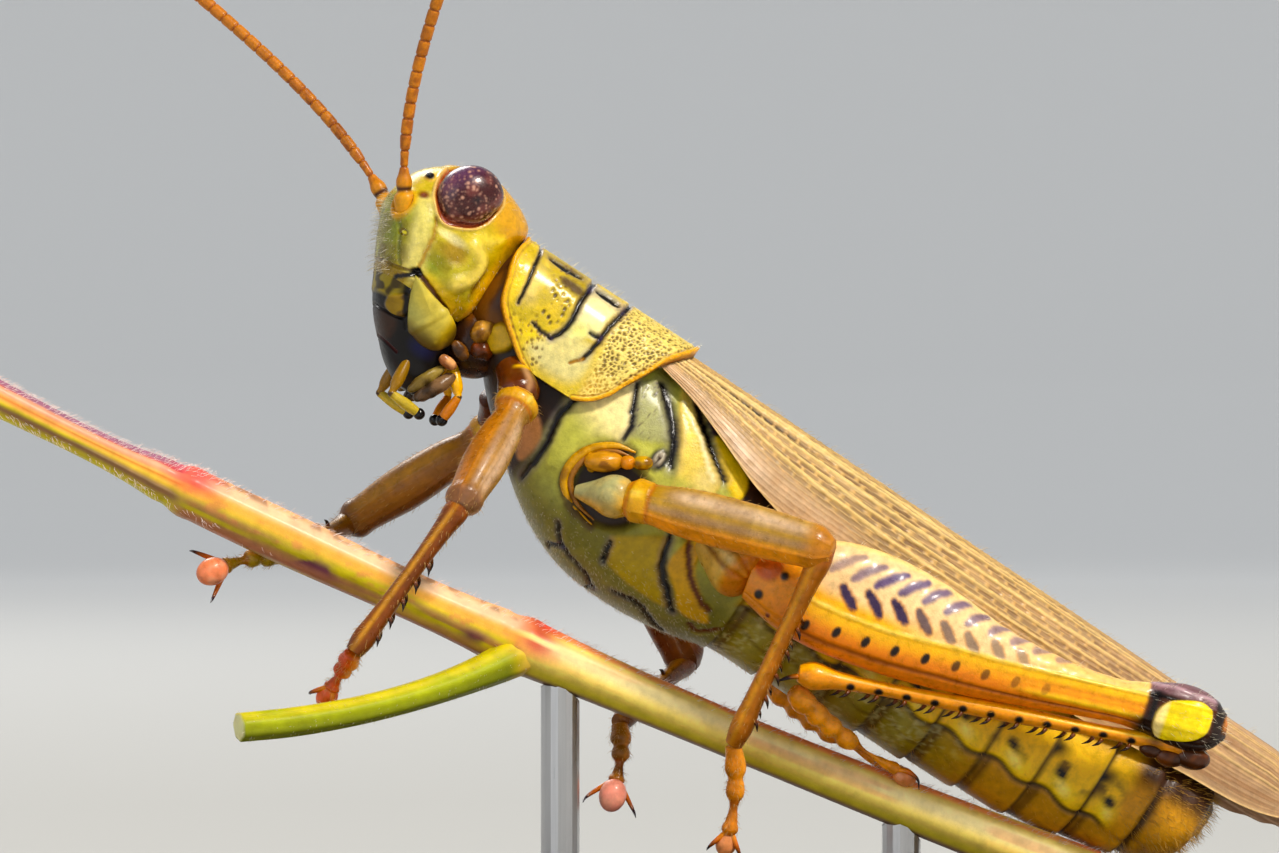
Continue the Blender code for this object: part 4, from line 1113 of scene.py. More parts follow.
def make_throat():
    """The dark throat that joins the mouth to the neck, and the neck's skin."""
    throat = ball((-0.75, 0.0, -1.75), ((1.15, 0, 0.1), (0, 1.3, 0), (-0.1, 0, 1.25)), 0x2c180e, 40, 56,
                  0.8)
    throat.paint(smooth(0.5, 0.7, noise(throat.grid, 0.4, 73)) * 0.6, 0x784822, 0.03)
    throat.wet[:] = 0.5
    neck = ball((-0.8, 0.0, 0.0), ((1.1, 0, 0), (0, 1.85, 0), (0, 0, 1.85)), 0x462814, 40, 56, 0.9)
    neck.paint(smooth(0.4, 0.7, noise(neck.grid, 0.5, 74)) * 0.6, 0x805222)
    return throat, neck


def make_jaw():
    """The pale outer jaw, shadowed and stained below and behind."""
    jaw = dome(JAW, JAW_CENTRE, JAW_RISE, jaw_seat, 0xc4b25c)
    x, z = jaw.grid[..., 0], jaw.grid[..., 2]
    jaw.mottle(0.35, 0.14, 75)
    jaw.paint(smooth(1.5, 2.2, x - 0.3 * (z + 2.0)) * 0.45, 0xb0aa60)
    jaw.paint(smooth(1.0, 1.7, x - 0.2 * (z + 2.2)) * bump(z, -2.3, 0.6) * 0.4, 0x96a06e)
    jaw.paint(smooth(0.9, 0.2, x) * 0.7, 0xdeb022)
    shadow = np.maximum(smooth(-2.25, -2.9, z), smooth(0.65, 0.15, x))
    jaw.paint(shadow * smooth(0.2, 0.42, noise(jaw.grid, 0.3, 76) + 0.35 * shadow) * 0.9, 0x3a2410)
    jaw.lift += 0.05 * bump(x + 0.5 * z, 0.1, 0.22)
    return jaw


def make_lobes(hand):
    """The lobes and knobs round the mouth on one side, stained in patches, with painted shade on their
    lower sides.
    """
    for (x, y, z), way, length, width, height, colour, dark in LOBES:
        lobe = ball((x, y * hand, z), along_axes(way, (0, 1, 0), length, width, height), colour, 26, 34,
                    0.8)
        lobe.paint(smooth(0.42, 0.66, noise(lobe.grid, 0.26, 77)) * 0.7, dark)
        # painted shade: the lower side of each lobe darkened
        lobe.paint(smooth(0.0, -0.8, (lobe.grid[..., 2] - z) / height - 0.3) * 0.6, dark)
        lobe.lift += 0.35 * height * (noise(lobe.grid, 0.22, 79) - 0.6)
        lobe.wet[:] = 0.6
        yield lobe


def make_mouth():
    """Upper lip and jaws: a black core, with the pale outer jaw and the lobes laid on it."""
    bundle = Bundle("mouth_core")
    for skin in (make_mouth_core(), *make_throat()):
        bundle.add_skin(skin, from_head)
    for hand in HANDS.values():
        bundle.add_skin(make_jaw(), mirrored(from_head, hand))
        for lobe in make_lobes(hand):
            bundle.add_skin(lobe, from_head)
    bundle.build(finish("cuticle_mouth", 0.42, 0.1, 0.12, 0.2, 0.35, 0.05, coat=0.15), "mouthparts",
                 ("mouthparts",))


# root, elbow and tip of each palp, and the colours of its two lengths
PALPS = {"maxillary": ((0.95, 0.8, -3.5), (0.85, 1.1, -4.85), (-0.35, 0.95, -4.9), 0x8c6828,
                       0xbea64e),
         "labial": ((-0.5, 0.65, -2.9), (-1.15, 0.9, -3.7), (-1.15, 0.6, -4.65), 0xf0b62c, 0xce802c)}
PALP = [
    (0.0, 0.14), (0.1, 0.17), (0.4, 0.19), (0.5, 0.12), (0.56, 0.14), (0.86, 0.18), (0.96, 0.14),
    (1.0, 0.08)]


def make_palps():
    """Two pairs of jointed palps, the upper ones longer, with round black tips."""
    made = finish("cuticle_palps", 0.34, 0.08, 0.14, 0.15, 0.3, 0.05, coat=0.3)
    for kind, (root, elbow, tip, first, second) in PALPS.items():
        for side, hand in HANDS.items():
            flip = np.array((1.0, hand, 1.0))
            path = np.concatenate((straight(root, elbow, 30)[:-1], straight(elbow, tip, 30))) * flip
            skin = Skin(sweep(path, round_profile(PALP), 28, (0.1, 1.0, 0.0)), first, mirror=False)
            t = np.linspace(0, 1, len(path))[:, None] + 0 * skin.lift
            skin.paint(smooth(0.45, 0.6, t), second)
            skin.paint(bump(t, 0.5, 0.05), UMBER)
            skin.wet[:] = 0.5
            end = (np.array(tip) + unit(np.array(tip) - np.array(elbow)) * -0.02) * flip
            knob = ball(end, np.eye(3) * 0.2, BLACK, 24, 30)
            knob.wet[:] = 1.0
            build_piece(f"{kind}_palp_{side}_jointed", [skin, knob], from_head, made, "palps",
                        f"{kind}_palp_{side}")


# ---------------------------------------------------------------- antennae

ANTENNA_BASE = (3.66, 1.2, 0.38)
ANTENNA_LENGTH = 13.5
# yaw and rise at the root, the same at the tip, and how early an antenna bends
ANTENNA_BEND = {"left": (6.0, 52.0, 52.0, 67.0, 3.0), "right": (-20.0, 31.0, -23.0, 9.0, 3.0)}
ANTENNA_JOINTS = 25


def antenna_path(side, steps):
    yaw_base, rise_base, yaw_tip, rise_tip, haste = ANTENNA_BEND[side]
    coarse = 14
    x, y, z = ANTENNA_BASE
    path = [np.array((x, y if side == "left" else -y, z))]
    for step in range(coarse):
        bend = 1 - (1 - step / coarse) ** haste
        along = direction(yaw_base + bend * (yaw_tip - yaw_base), rise_base + bend * (rise_tip - rise_base))
        path.append(path[-1] + along * ANTENNA_LENGTH / coarse)
    return spline(path, steps // coarse)


ANTENNA_STEPS = 420
ANTENNA = [
    (0.0, 0.34), (0.03, 0.37), (0.05, 0.34), (0.06, 0.24), (0.07, 0.26), (0.088, 0.26), (0.1, 0.2),
    (0.2, 0.195), (0.6, 0.2), (0.9, 0.19), (1.0, 0.12)]


def paint_antenna(skin):
    """Ringed and mottled brown, with a broad golden root and an orange tip."""
    s = np.linspace(0, 1, len(skin.grid))[:, None] + 0 * skin.lift
    part = (s * ANTENNA_JOINTS) % 1.0
    lash = smooth(0.09, 0.12, s)
    skin.mottle(0.25, 0.18, 81)
    skin.paint(smooth(0.12, 0.03, s) * 0.85, 0xd69c28)
    skin.lift -= lash * 0.022 * (bump(part, 0.0, 0.14) + bump(part, 1.0, 0.14))
    skin.paint(bump(s, 0.066, 0.012), 0x3c1a0a)
    for edge, reach in ((0.0, 0.12), (1.0, 0.08)):
        skin.paint(lash * bump(part, edge, reach) * 0.8, 0x823e10, -0.02)
    patch = smooth(0.45, 0.62, noise(skin.grid, 0.22, 83)) * smooth(0.7, 0.3, s)
    skin.paint(lash * patch * 0.55, 0x804212)
    skin.paint(smooth(0.6, 1.0, s) * 0.5, 0xbe641c)


def make_antennae():
    made = finish("cuticle_antenna", 0.4, 0.1, 0.16, 0.12, 0.5, 0.04, coat=0.2, soft=0.06)
    for side in HANDS:
        path = antenna_path(side, ANTENNA_STEPS)
        skin = Skin(sweep(path, round_profile(ANTENNA), 28, (0.3, 1.0, 0.0)), 0xba7622, mirror=False)
        paint_antenna(skin)
        build_piece(f"antenna_{side}_ringed", [skin], from_head, made, "antenna", f"antenna_{side}")


# ---------------------------------------------------------------- wings

WING_ROOT = 1.1
WING_LENGTH = 28.0
WING_TOP = 4.85
# place along the wing, how far out its shoulder and its lower edge lie, and the lower edge's height
WING_EDGES = [
    (0.0, 0.9, 1.75, 3.95), (0.07, 1.15, 2.1, 3.45), (0.12, 1.3, 2.5, 2.9), (0.18, 1.42, 2.8, 2.2),
    (0.3, 1.5, 2.8, 1.5), (0.5, 1.42, 2.5, 1.4), (0.8, 1.1, 1.6, 2.0), (0.93, 0.8, 1.17, 2.45),
    (1.0, 0.42, 0.7, 3.35)]
WING_SPLIT = 0.34               # share of the wing's width that lies on the back
WING_GAP = 0.06                 # half the gap between the two wings


def tegmen_grid(inset, rows, columns):
    """Flat along the back, then curved down the side, inset from the wing's outer face."""
    places = 0.5 - 0.5 * np.cos(np.linspace(0, math.pi, rows))
    places = 0.35 * places + 0.65 * np.linspace(0, 1, rows)
    shoulder, side, low = curve_through(WING_EDGES, places).T[:, :, None]
    place = places[:, None]
    across = np.linspace(0.0, 1.0, columns)[None]
    high = WING_TOP - 0.35 * place - 5.0 * np.maximum(0.0, place - 0.9)
    t = np.clip(across / WING_SPLIT, 0, 1)
    back_y = WING_GAP + t * (shoulder - inset)
    back_z = high - 0.25 * t ** 2 - inset
    t = np.clip((across - WING_SPLIT) / (1 - WING_SPLIT), 0, 1)
    side_y = WING_GAP + (shoulder - inset) + (side - shoulder) * np.sin(0.5 * math.pi * t)
    side_z = high - 0.25 - inset + (low - high + 0.25 + inset) * t ** 1.25
    back = across < WING_SPLIT
    x = WING_ROOT - WING_LENGTH * place + 0 * across
    return np.stack((x, np.where(back, back_y, side_y), np.where(back, back_z, side_z)), -1)


# a strong vein: where it starts and ends across the wing, and its width
STRONG_VEINS = (
    (0.36, 0.32, 0.02), (0.4, 0.37, 0.014), (0.51, 0.46, 0.018), (0.57, 0.6, 0.014), (0.66, 0.7, 0.016))


def paint_veins(skin, p, q):
    """Long veins with a ladder of cross veins between them, and dark cells in the middle."""
    x = skin.x
    root = smooth(0.42, 0.12, p)
    far = smooth(0.5, 0.85, p)
    count = 22 + 6 * smooth(0.0, 0.5, p)
    bend = noise(np.stack((p * 9, q * 3, 0 * p), -1), 1.0, 94) - 0.5
    lane = q * count + 0.9 * bend * smooth(0.03, 0.2, p)
    strip = np.floor(lane)
    gap = np.abs(lane - strip - 0.5)
    length = 0.3 + 0.3 * smooth(0.05, 0.5, p)
    step = x / length + 0.37 * strip + 0.5 * noise(np.stack((p * 30, q * 4, 0 * p), -1), 1.0, 95)
    cell = np.floor(step)
    hue = TABLE[((strip.astype(np.int64) * 7919) ^ (cell.astype(np.int64) * 104729)) & 65535]
    to_rung = np.minimum(step - cell, 1 - (step - cell))
    between = smooth(0.5, 0.36, gap) * smooth(0.0, 0.14, to_rung)
    middle = smooth(0.26, 0.34, q) * smooth(0.72, 0.6, q)
    low = smooth(0.66, 0.8, q)
    dark = between * (1 - low) * (0.2 + 0.6 * middle) * smooth(0.2, 0.8, hue + 0.35 * root * middle)
    skin.paint(dark * (1 - 0.75 * far) * 0.8, 0x705034, -0.025)
    skin.paint(bump(q, 0.25, 0.03) * between * smooth(0.2, 0.35, p) * (1 - far) * smooth(0.4, 0.7, hue)
               * 0.8, 0x7a542e)
    skin.paint(smooth(0.36, 0.48, gap) * (1 - 0.7 * far) * 0.8, 0xceb07e, 0.04)
    rung = smooth(0.16, 0.04, to_rung) * (1 - 0.75 * far) * (1 - 0.6 * low)
    skin.paint(rung * 0.65, 0xd8b276, 0.02)
    streak = noise(np.stack((x * 0.5, q * 60, 0 * p), -1), 1.0, 98)
    skin.paint(smooth(0.5, 0.8, streak) * 0.3, 0xe2ba8a)
    skin.paint(smooth(0.5, 0.2, streak) * far * 0.5, 0x966c4c)
    # black slots in a row near the root, and strong pale veins on both sides of it
    slot = bump(q, 0.45, 0.045) + 0.8 * bump(q, 0.38, 0.03)
    slot = slot * smooth(0.01, 0.03, p) * smooth(0.26, 0.16, p)
    skin.paint(np.clip(slot, 0, 1) * smooth(0.08, 0.2, np.abs((x * 2.1) % 1.0 - 0.5)), 0x22160e, -0.06)
    for start, end, width in STRONG_VEINS:
        ridge = bump(q, start + (end - start) * p, width * (1.5 + 0.5 * root))
        skin.paint(ridge * 0.85 * (1 - 0.5 * far), 0xecce92, 0.07)
    for place in (0.335, 0.12, 0.06):
        skin.paint(bump(q, place, 0.012) * root * 0.6, 0x787442)


def paint_tegmen(skin):
    """Brown leather, veined, with a pinkish white bulge along the lower edge."""
    p = (WING_ROOT - skin.x) / WING_LENGTH
    q = np.linspace(0, 1, p.shape[1])[None] + 0 * p
    skin.paint(bump(q, 0.16, 0.16) * smooth(0.02, 0.08, p) * 0.6, 0xb08e72)
    skin.paint(smooth(0.3, 0.75, p) * 0.75, 0xb0926e)
    skin.paint(smooth(0.5, 0.85, p) * 0.7, 0xb8967a)
    skin.mottle(1.1, 0.14, 91)
    paint_veins(skin, p, q)
    edge = smooth(0.7, 0.84, q) * smooth(0.36, 0.28, p)
    skin.paint(edge * 0.8, 0xcaaa8a)
    skin.paint(bump(q, 0.9, 0.1) * bump(p, 0.14, 0.07) * 0.7, 0xf6dcc4, 0.05)
    skin.paint(edge * smooth(0.55, 0.75, noise(skin.chart * np.array((0.5, 1, 1)), 0.25, 97)) * 0.5,
               0xb4906c)
    skin.paint(bump(q, 1.0, 0.03) * 0.7, 0xf0ce96, 0.03)


WING_MIDDLE = (-12.0, 0.0, 1.0)
WING_GRID = (500, 150)
WING_LINING_GRID = (80, 30)
HIND_WING_ROWS = [
    (-13.0, 2.9, 3.6, 0.22), (-16.0, 1.9, 3.5, 0.27), (-20.0, 1.75, 3.4, 0.29), (-24.0, 1.9, 3.4, 0.27),
    (-26.0, 2.4, 3.3, 0.18)]


def make_hind_wings():
    """The hind wings, folded in fine pleats under the fore wings."""
    skin = Skin(body_rings(HIND_WING_ROWS, np.linspace(-13.0, -26.0, 110), 90, 2.5), 0xb08c70)
    pleat = np.sin(skin.z * 26.0 + 0.4 * skin.x)
    skin.lift += 0.03 * pleat - 0.05
    skin.paint(smooth(0.3, 0.9, pleat) * 0.6, 0xe2c4a6)
    skin.mottle(0.5, 0.15, 96)
    look = finish("wing_membrane", 0.38, 0.08, 0.12, 0.3, 0.4, 0.05, coat=0.2)
    build_piece("hind_wings_folded", [skin], from_insect, look, "hind_wing", "hind_wings")


def make_wings():
    made = finish("wing_leather", 0.46, 0.1, 0.14, 0.3, 0.4, 0.05, coat=0.1, soft=0.04)
    surfaces = []
    for side, hand in HANDS.items():
        outer = Skin(tegmen_grid(0.0, *WING_GRID), 0x967a56, closed=False, centre=WING_MIDDLE)
        paint_tegmen(outer)
        outer.lift -= 0.03
        inner = Skin(tegmen_grid(0.16, *WING_LINING_GRID), 0x96704c, closed=False, centre=WING_MIDDLE)
        place = mirrored(from_insect, hand)
        build_piece(f"tegmen_{side}_veined", [outer, inner], place, made, "wing", f"tegmen_{side}")
        surfaces.append((outer, place))
    make_hind_wings()
    return surfaces


# ---------------------------------------------------------------- legs

# hip, then length, yaw and rise of the femur, tibia and tarsus
LEGS = {
    "fore_left": ((4.1, 2.75, 0.35), (5.0, 91.0, -54.0), (6.0, -56.0, -85.0), (1.9, -95.0, -55.0)),
    "fore_right": ((3.8, -2.75, -0.6), (6.2, -38.0, -61.0), (5.0, 70.0, -26.0), (2.3, 27.0, -43.0)),
    "mid_left": ((-0.65, 3.1, -0.5), (7.0, 155.0, 16.5), (7.7, -113.0, -63.0), (3.3, -158.0, -60.0)),
    "mid_right": ((-0.65, -3.1, -0.5), (7.0, -154.5, -27.0), (6.0, 74.5, -31.0), (2.2, 149.0, -62.0)),
    "hind_left": ((-5.4, 3.35, -0.5), (16.2, 176.0, 14.8), (13.4, -3.2, -22.0), (5.2, -162.0, -1.0)),
    "hind_right": ((-5.4, -3.35, -0.5), (16.2, -176.0, 14.8), (13.4, 3.2, -22.0), (5.2, 162.0, -1.0)),
}
THIGH = [
    (0.0, 0.6, 0.6, 0.6), (0.04, 0.76, 0.76, 0.76), (0.1, 0.74, 0.74, 0.74), (0.15, 0.6, 0.62, 0.62),
    (0.3, 0.68, 0.74, 0.74), (0.6, 0.76, 0.84, 0.84), (0.85, 0.64, 0.72, 0.7), (0.94, 0.62, 0.68, 0.68),
    (1.0, 0.32, 0.36, 0.36)]
SLIM_THIGH = [
    (0.0, 0.56, 0.6, 0.6), (0.04, 0.7, 0.78, 0.76), (0.09, 0.68, 0.76, 0.74), (0.13, 0.64, 0.74, 0.72),
    (0.25, 0.68, 0.86, 0.82), (0.6, 0.7, 0.9, 0.86), (0.85, 0.64, 0.8, 0.78), (0.94, 0.6, 0.74, 0.72),
    (1.0, 0.34, 0.42, 0.4)]
SHIN = [
    (0.0, 0.38, 0.4, 0.4), (0.05, 0.44, 0.46, 0.46), (0.15, 0.38, 0.4, 0.4), (0.8, 0.36, 0.38, 0.38),
    (0.93, 0.4, 0.42, 0.42), (1.0, 0.32, 0.34, 0.34)]
FOOT = [
    (0.0, 0.28, 0.27, 0.29), (0.08, 0.3, 0.27, 0.33), (0.27, 0.34, 0.27, 0.37), (0.34, 0.25, 0.23, 0.26),
    (0.4, 0.29, 0.25, 0.33), (0.52, 0.29, 0.25, 0.31), (0.58, 0.18, 0.18, 0.19), (0.78, 0.2, 0.18, 0.2),
    (0.9, 0.25, 0.22, 0.24), (0.93, 0.16, 0.15, 0.16)]
HIND_THIGH = [
    (0.0, 0.55, 0.8, 0.75), (0.06, 0.9, 1.55, 1.25), (0.14, 1.08, 2.05, 1.6), (0.25, 1.12, 2.18, 1.74),
    (0.37, 1.08, 1.85, 1.72), (0.5, 0.98, 1.15, 1.52), (0.6, 0.85, 0.8, 1.3), (0.72, 0.7, 0.62, 1.0),
    (0.8, 0.66, 0.7, 0.86), (0.86, 0.78, 1.02, 0.95), (0.9, 0.86, 1.16, 1.05), (0.94, 0.84, 1.1, 1.02),
    (0.97, 0.7, 0.88, 0.84), (0.99, 0.45, 0.56, 0.56), (1.0, 0.25, 0.3, 0.3)]
HIND_SHIN = [
    (0.0, 0.3, 0.36, 0.36), (0.04, 0.42, 0.48, 0.48), (0.09, 0.34, 0.42, 0.38), (0.5, 0.32, 0.4, 0.35),
    (0.9, 0.33, 0.4, 0.36), (0.98, 0.44, 0.46, 0.46), (1.0, 0.3, 0.3, 0.3)]
HIND_FOOT = [
    (0.0, 0.28, 0.26, 0.28), (0.05, 0.42, 0.36, 0.38), (0.13, 0.44, 0.38, 0.42), (0.17, 0.37, 0.34, 0.32),
    (0.25, 0.43, 0.37, 0.41), (0.29, 0.36, 0.32, 0.31), (0.38, 0.41, 0.35, 0.4), (0.43, 0.27, 0.26, 0.26),
    (0.5, 0.38, 0.31, 0.36), (0.56, 0.28, 0.26, 0.28), (0.6, 0.15, 0.15, 0.15), (0.85, 0.17, 0.16, 0.17),
    (0.92, 0.22, 0.2, 0.2), (0.94, 0.16, 0.15, 0.15)]
BACK = np.array((0.0, 0.0, 1.0))


class Limb(Skin):
    """A limb's surface, which also knows each point's place along it, and its side and height."""

    def __init__(self, path, profile, sides, up, outward, base, power=2.0):
        super().__init__(sweep(path, profile, sides, up, power), base)
        steps = np.linalg.norm(np.diff(path, axis=0), axis=1)
        places = np.concatenate(([0.0], np.cumsum(steps))) / steps.sum()
        self.s = places[:, None] + 0 * self.lift
        middle = self.grid.mean(axis=1, keepdims=True)
        away = self.grid - middle
        tangent = unit(np.gradient(np.asarray(path, float), axis=0))[:, None]
        out = np.asarray(outward, float) - tangent * (tangent @ np.asarray(outward, float))[..., None]
        out = unit(out)
        top = unit(np.cross(out, tangent))
        if (top * BACK).sum() < 0:
            top = -top
        self.a = (away * out).sum(-1)
        self.b = (away * top).sum(-1)
        self.height = self.b
        self.a = self.a / np.abs(self.a).max(axis=1, keepdims=True)
        self.b = self.b / np.abs(self.b).max(axis=1, keepdims=True)


FOOT_STEPS = 6


def foot_path(start, length, yaw, rise, curl):
    """A path that curls up by curl degrees from its start to its end."""
    path = [np.asarray(start, float)]
    for step in range(FOOT_STEPS):
        bend = rise - curl * (step / FOOT_STEPS - 0.5)
        path.append(path[-1] + direction(yaw, bend) * length / FOOT_STEPS)
    return path


def paint_thigh(limb, shades):
    """Orange along its lower side, a greyish painted sheen along its top, with a ringed base and a darker
    knee.
    """
    _, above, below, knee = shades
    limb.mottle(0.7, 0.14, 101)
    limb.paint(smooth(-0.1, -0.65, limb.b) * 0.9, below)
    limb.paint(bump(limb.b, -0.15, 0.3) * smooth(0.2, 0.6, limb.a) * 0.5, 0xa68470)
    # painted sheen: a greyish band along the top of the thigh
    limb.paint(bump(limb.b, 0.55, 0.45) * smooth(0.15, 0.3, limb.s) * smooth(1.0, 0.8, limb.s) * 0.85,
               above)
    limb.paint(smooth(0.85, 1.0, limb.b) * 0.6, 0xd6a05a)
    limb.paint(smooth(0.14, 0.1, limb.s) * 0.85, 0xd6a036)
    limb.paint(smooth(0.12, 0.07, limb.s) * bump(limb.b, 0.3, 0.4) * 0.6, 0xf8d878)
    limb.paint(smooth(0.4, 0.65, noise(limb.grid, 0.45, 103)) * 0.24, 0x6e4626)
    limb.paint(bump(limb.s, 0.125, 0.02) * 0.7, 0xaa6014, -0.03)
    limb.paint(bump(limb.s, 0.02, 0.02) * 0.7, 0xbe6e1e, -0.02)
    limb.paint(smooth(0.84, 0.95, limb.s) * 0.8, knee)
    limb.lift += 0.03 * bump(limb.b, -0.55, 0.12) + 0.03 * bump(limb.b, 0.35, 0.1)


# heights, in the insect's frame, of the outer keel of the hind thigh at each x
KEEL = [
    (6.5, -0.1), (7.75, -0.03), (8.8, 0.14), (10.2, 0.45), (11.5, 0.89), (12.4, 1.22), (13.8, 1.65),
    (15.4, 2.22), (17.0, 2.8), (18.3, 3.28), (22.5, 4.7)]
# upper end, and lower end, of the first and of the last steep bar and slanting bar
STEEP_TOP = [
    (7.9, 0.84), (8.73, 1.12), (9.64, 1.35), (10.6, 1.5), (11.54, 1.64), (12.44, 1.75), (13.28, 2.02),
    (14.9, 2.42)]
SLANT_LOW = [
    (7.57, 1.18), (8.32, 1.28), (9.16, 1.51), (9.89, 1.71), (10.66, 1.93), (11.36, 2.02), (12.24, 2.05),
    (13.91, 2.32), (16.0, 2.8)]
BAR_STEP = 0.875
SLANT_STEP = 0.8


def keel_height(x):
    """Height of the outer keel of the hind thigh."""
    return np.interp(-x, *np.array(KEEL).T)


def height_at(rows, place):
    return float(np.interp(place, *np.array(rows).T))


def paint_bars(limb, outer):
    """Herringbone: steep dark bars above, slanting violet ones below, fading towards the knee."""
    for number in range(8):
        place = 8.05 + BAR_STEP * number
        reach = 0.72 - 0.045 * number
        top = height_at(STEEP_TOP, place)
        fade = np.interp(number, (0, 2, 4, 8), (1.0, 1.0, 0.75, 0.5))
        steep = [(-place, 4.7, top), (-place - 0.55 * reach, 4.75, top - 0.33 * reach),
                 (-place - reach, 4.8, top - 0.62 * reach)]
        mask = limb.line(steep, 0.18, blur=0.5, taper=0.3) * outer
        limb.paint(mask * fade, 0x3a2a46)
        limb.paint(bump(mask, 0.5, 0.5) * fade * 0.3, 0xf08214)
    for number in range(11):
        place = 7.45 + SLANT_STEP * number
        low = height_at(SLANT_LOW, place)
        size = 1.0 - 0.055 * number
        fade = np.interp(number, (0, 2, 5, 11), (0.6, 0.95, 0.85, 0.5))
        slant = [(-place, 4.6, low), (-place - 0.25 * size, 4.5, low + 0.45 * size),
                 (-place - 0.75 * size, 4.3, low + 0.95 * size)]
        mask = limb.line(slant, 0.17, blur=0.6, taper=0.3) * outer
        limb.paint(mask * fade, 0x544270)


def paint_band(limb, face, w):
    """The outer keel, pale with a painted highlight along it, the orange band under it with its row of
    black dots, and the lower edge.
    """
    x, z = limb.x, limb.z
    band = face * smooth(-0.05, -0.12, w)
    limb.paint(band, 0xffbc1a)
    limb.paint(band * smooth(-0.15, -0.9, w), 0xf08e08)
    # the outer keel: pale yellow and raised, brightened with a painted highlight along it
    limb.paint(face * bump(w, 0.0, 0.12) * smooth(-6.5, -7.5, x) * 0.8, 0xfcd878, 0.07)
    limb.paint(face * smooth(-12.0, -17.0, x) * bump(w, -0.42, 0.16) * 0.5, 0xce7614, -0.04)
    limb.paint(face * smooth(-14.0, -16.0, x) * bump(w, -0.8, 0.2) * 0.8, 0xffce46, 0.05)
    limb.paint(smooth(-0.72, -0.86, limb.b) * 0.85, 0xde841a)
    limb.paint(face * bump(limb.b, -0.74, 0.08) * 0.8, 0x864412, -0.05)
    for number in range(9):
        place = 7.75 + 0.98 * number
        drop = 0.85 - 0.2 * min(number, 1.2)
        gap = np.hypot((x + place) / 0.13, (z - (height_at(KEEL, place) - drop)) / 0.2)
        fade = np.interp(number, (0, 4, 9), (1.0, 1.0, 0.3))
        limb.paint(face * smooth(1.25, 0.8, gap) * fade, 0x1a0e0a)


# blots at the root of the hind thigh: centre, size and colour
ROOT_BLOTS = (((-5.75, 4.0, 0.15), 0.5, 0xba621c), ((-6.35, 4.2, 0.12), 0.2, BLACK),
              ((-5.98, 3.95, -0.8), 0.2, BLACK), ((-6.6, 3.9, -1.2), 0.13, 0x602418))


def paint_knee(limb):
    """The hind knee: mauve cap with a painted highlight on top, black crescent, a bright yellow lobe and a
    dark tip.
    """
    s, v = limb.s, limb.height
    knee = smooth(0.822, 0.832, s)
    limb.paint(knee, 0x5c2e12)
    limb.paint(knee * smooth(0.5, 0.66, v), 0x7a5c60)
    # painted highlight: a pale streak over the top of the knee cap
    limb.paint(knee * bump(v, 0.86, 0.12), 0xb09298, 0.03)
    limb.paint(knee * bump(v, 0.48, 0.22) * smooth(0.97, 0.93, s), BLACK, -0.03)
    limb.paint(bump(s, 0.842, 0.022) * smooth(0.75, 0.6, v), BLACK, -0.03)
    limb.paint(smooth(-0.62, -0.8, v) * knee, 0x2e180c)
    along = np.abs((s - 0.905) / 0.055) ** 2.6
    across = np.abs((v + 0.12 - 4.0 * (s - 0.905)) / 0.7) ** 2.6
    reach = (along + across) ** (1 / 2.6)
    lobe = smooth(1.06, 0.94, reach) * smooth(0.2, 0.4, np.abs(limb.a))
    limb.paint(lobe, 0xfdda1a, 0.13)
    limb.paint(lobe * smooth(0.88, 0.865, s) * 0.6, 0xf6e2be)
    limb.paint(smooth(0.958, 0.97, s) * (1 - lobe), 0x22140e)
    limb.paint(smooth(0.985, 0.995, s) * smooth(-0.2, 0.3, v), 0xce8232)
    limb.paint(smooth(-0.1, -0.5, v) * smooth(0.79, 0.83, s) * (1 - lobe) * 0.9, 0x24140c)
    limb.wet += knee * 0.4


def paint_hind_thigh(limb, hand):
    """Herringbone of violet bars on cream, over an orange band with a row of black dots."""
    s, b, x, z = limb.s, limb.b, limb.x, limb.z
    face = smooth(0.1, 0.3, limb.a)
    w = z - keel_height(x)
    limb.mottle(0.9, 0.1, 111)
    limb.paint((1 - face) * smooth(0.1, 0.5, b) * 0.6, 0xa87038)
    limb.paint((1 - face) * smooth(0.1, -0.5, b) * 0.6, 0xe28222)
    field = face * smooth(0.0, 0.12, w)
    limb.paint(field, 0xf4d09e)
    limb.paint(field * smooth(0.75, 0.1, w) * smooth(-13.0, -9.0, x), 0xfab228)
    limb.paint(field * smooth(-7.4, -6.2, x) * 0.8, 0xf4a01e)
    limb.paint(field * smooth(-13.5, -16.0, x) * 0.6, 0xfac46e)
    limb.paint(field * smooth(1.9, 2.5, limb.height) * 0.6, 0xf6ce82)
    paint_bars(limb, limb.grid[..., 1] * hand > 3.0)
    limb.lift += field * 0.02 * np.sin(2 * math.pi * (x + 0.4 * z) / 0.85)
    paint_band(limb, face, w)
    limb.paint(smooth(0.14, 0.06, s) * 0.85, 0xd2882c)
    for centre, size, colour in ROOT_BLOTS:
        gap = np.linalg.norm(limb.chart - np.array(centre), axis=-1)
        limb.paint(smooth(1.2 * size, 0.8 * size, gap), colour, 0.03)
    # upper edge: a pale keel, with a painted highlight along it
    limb.paint(bump(b, 0.95, 0.08) * smooth(0.83, 0.81, s) * 0.7, 0xfcde96, 0.05)
    paint_knee(limb)


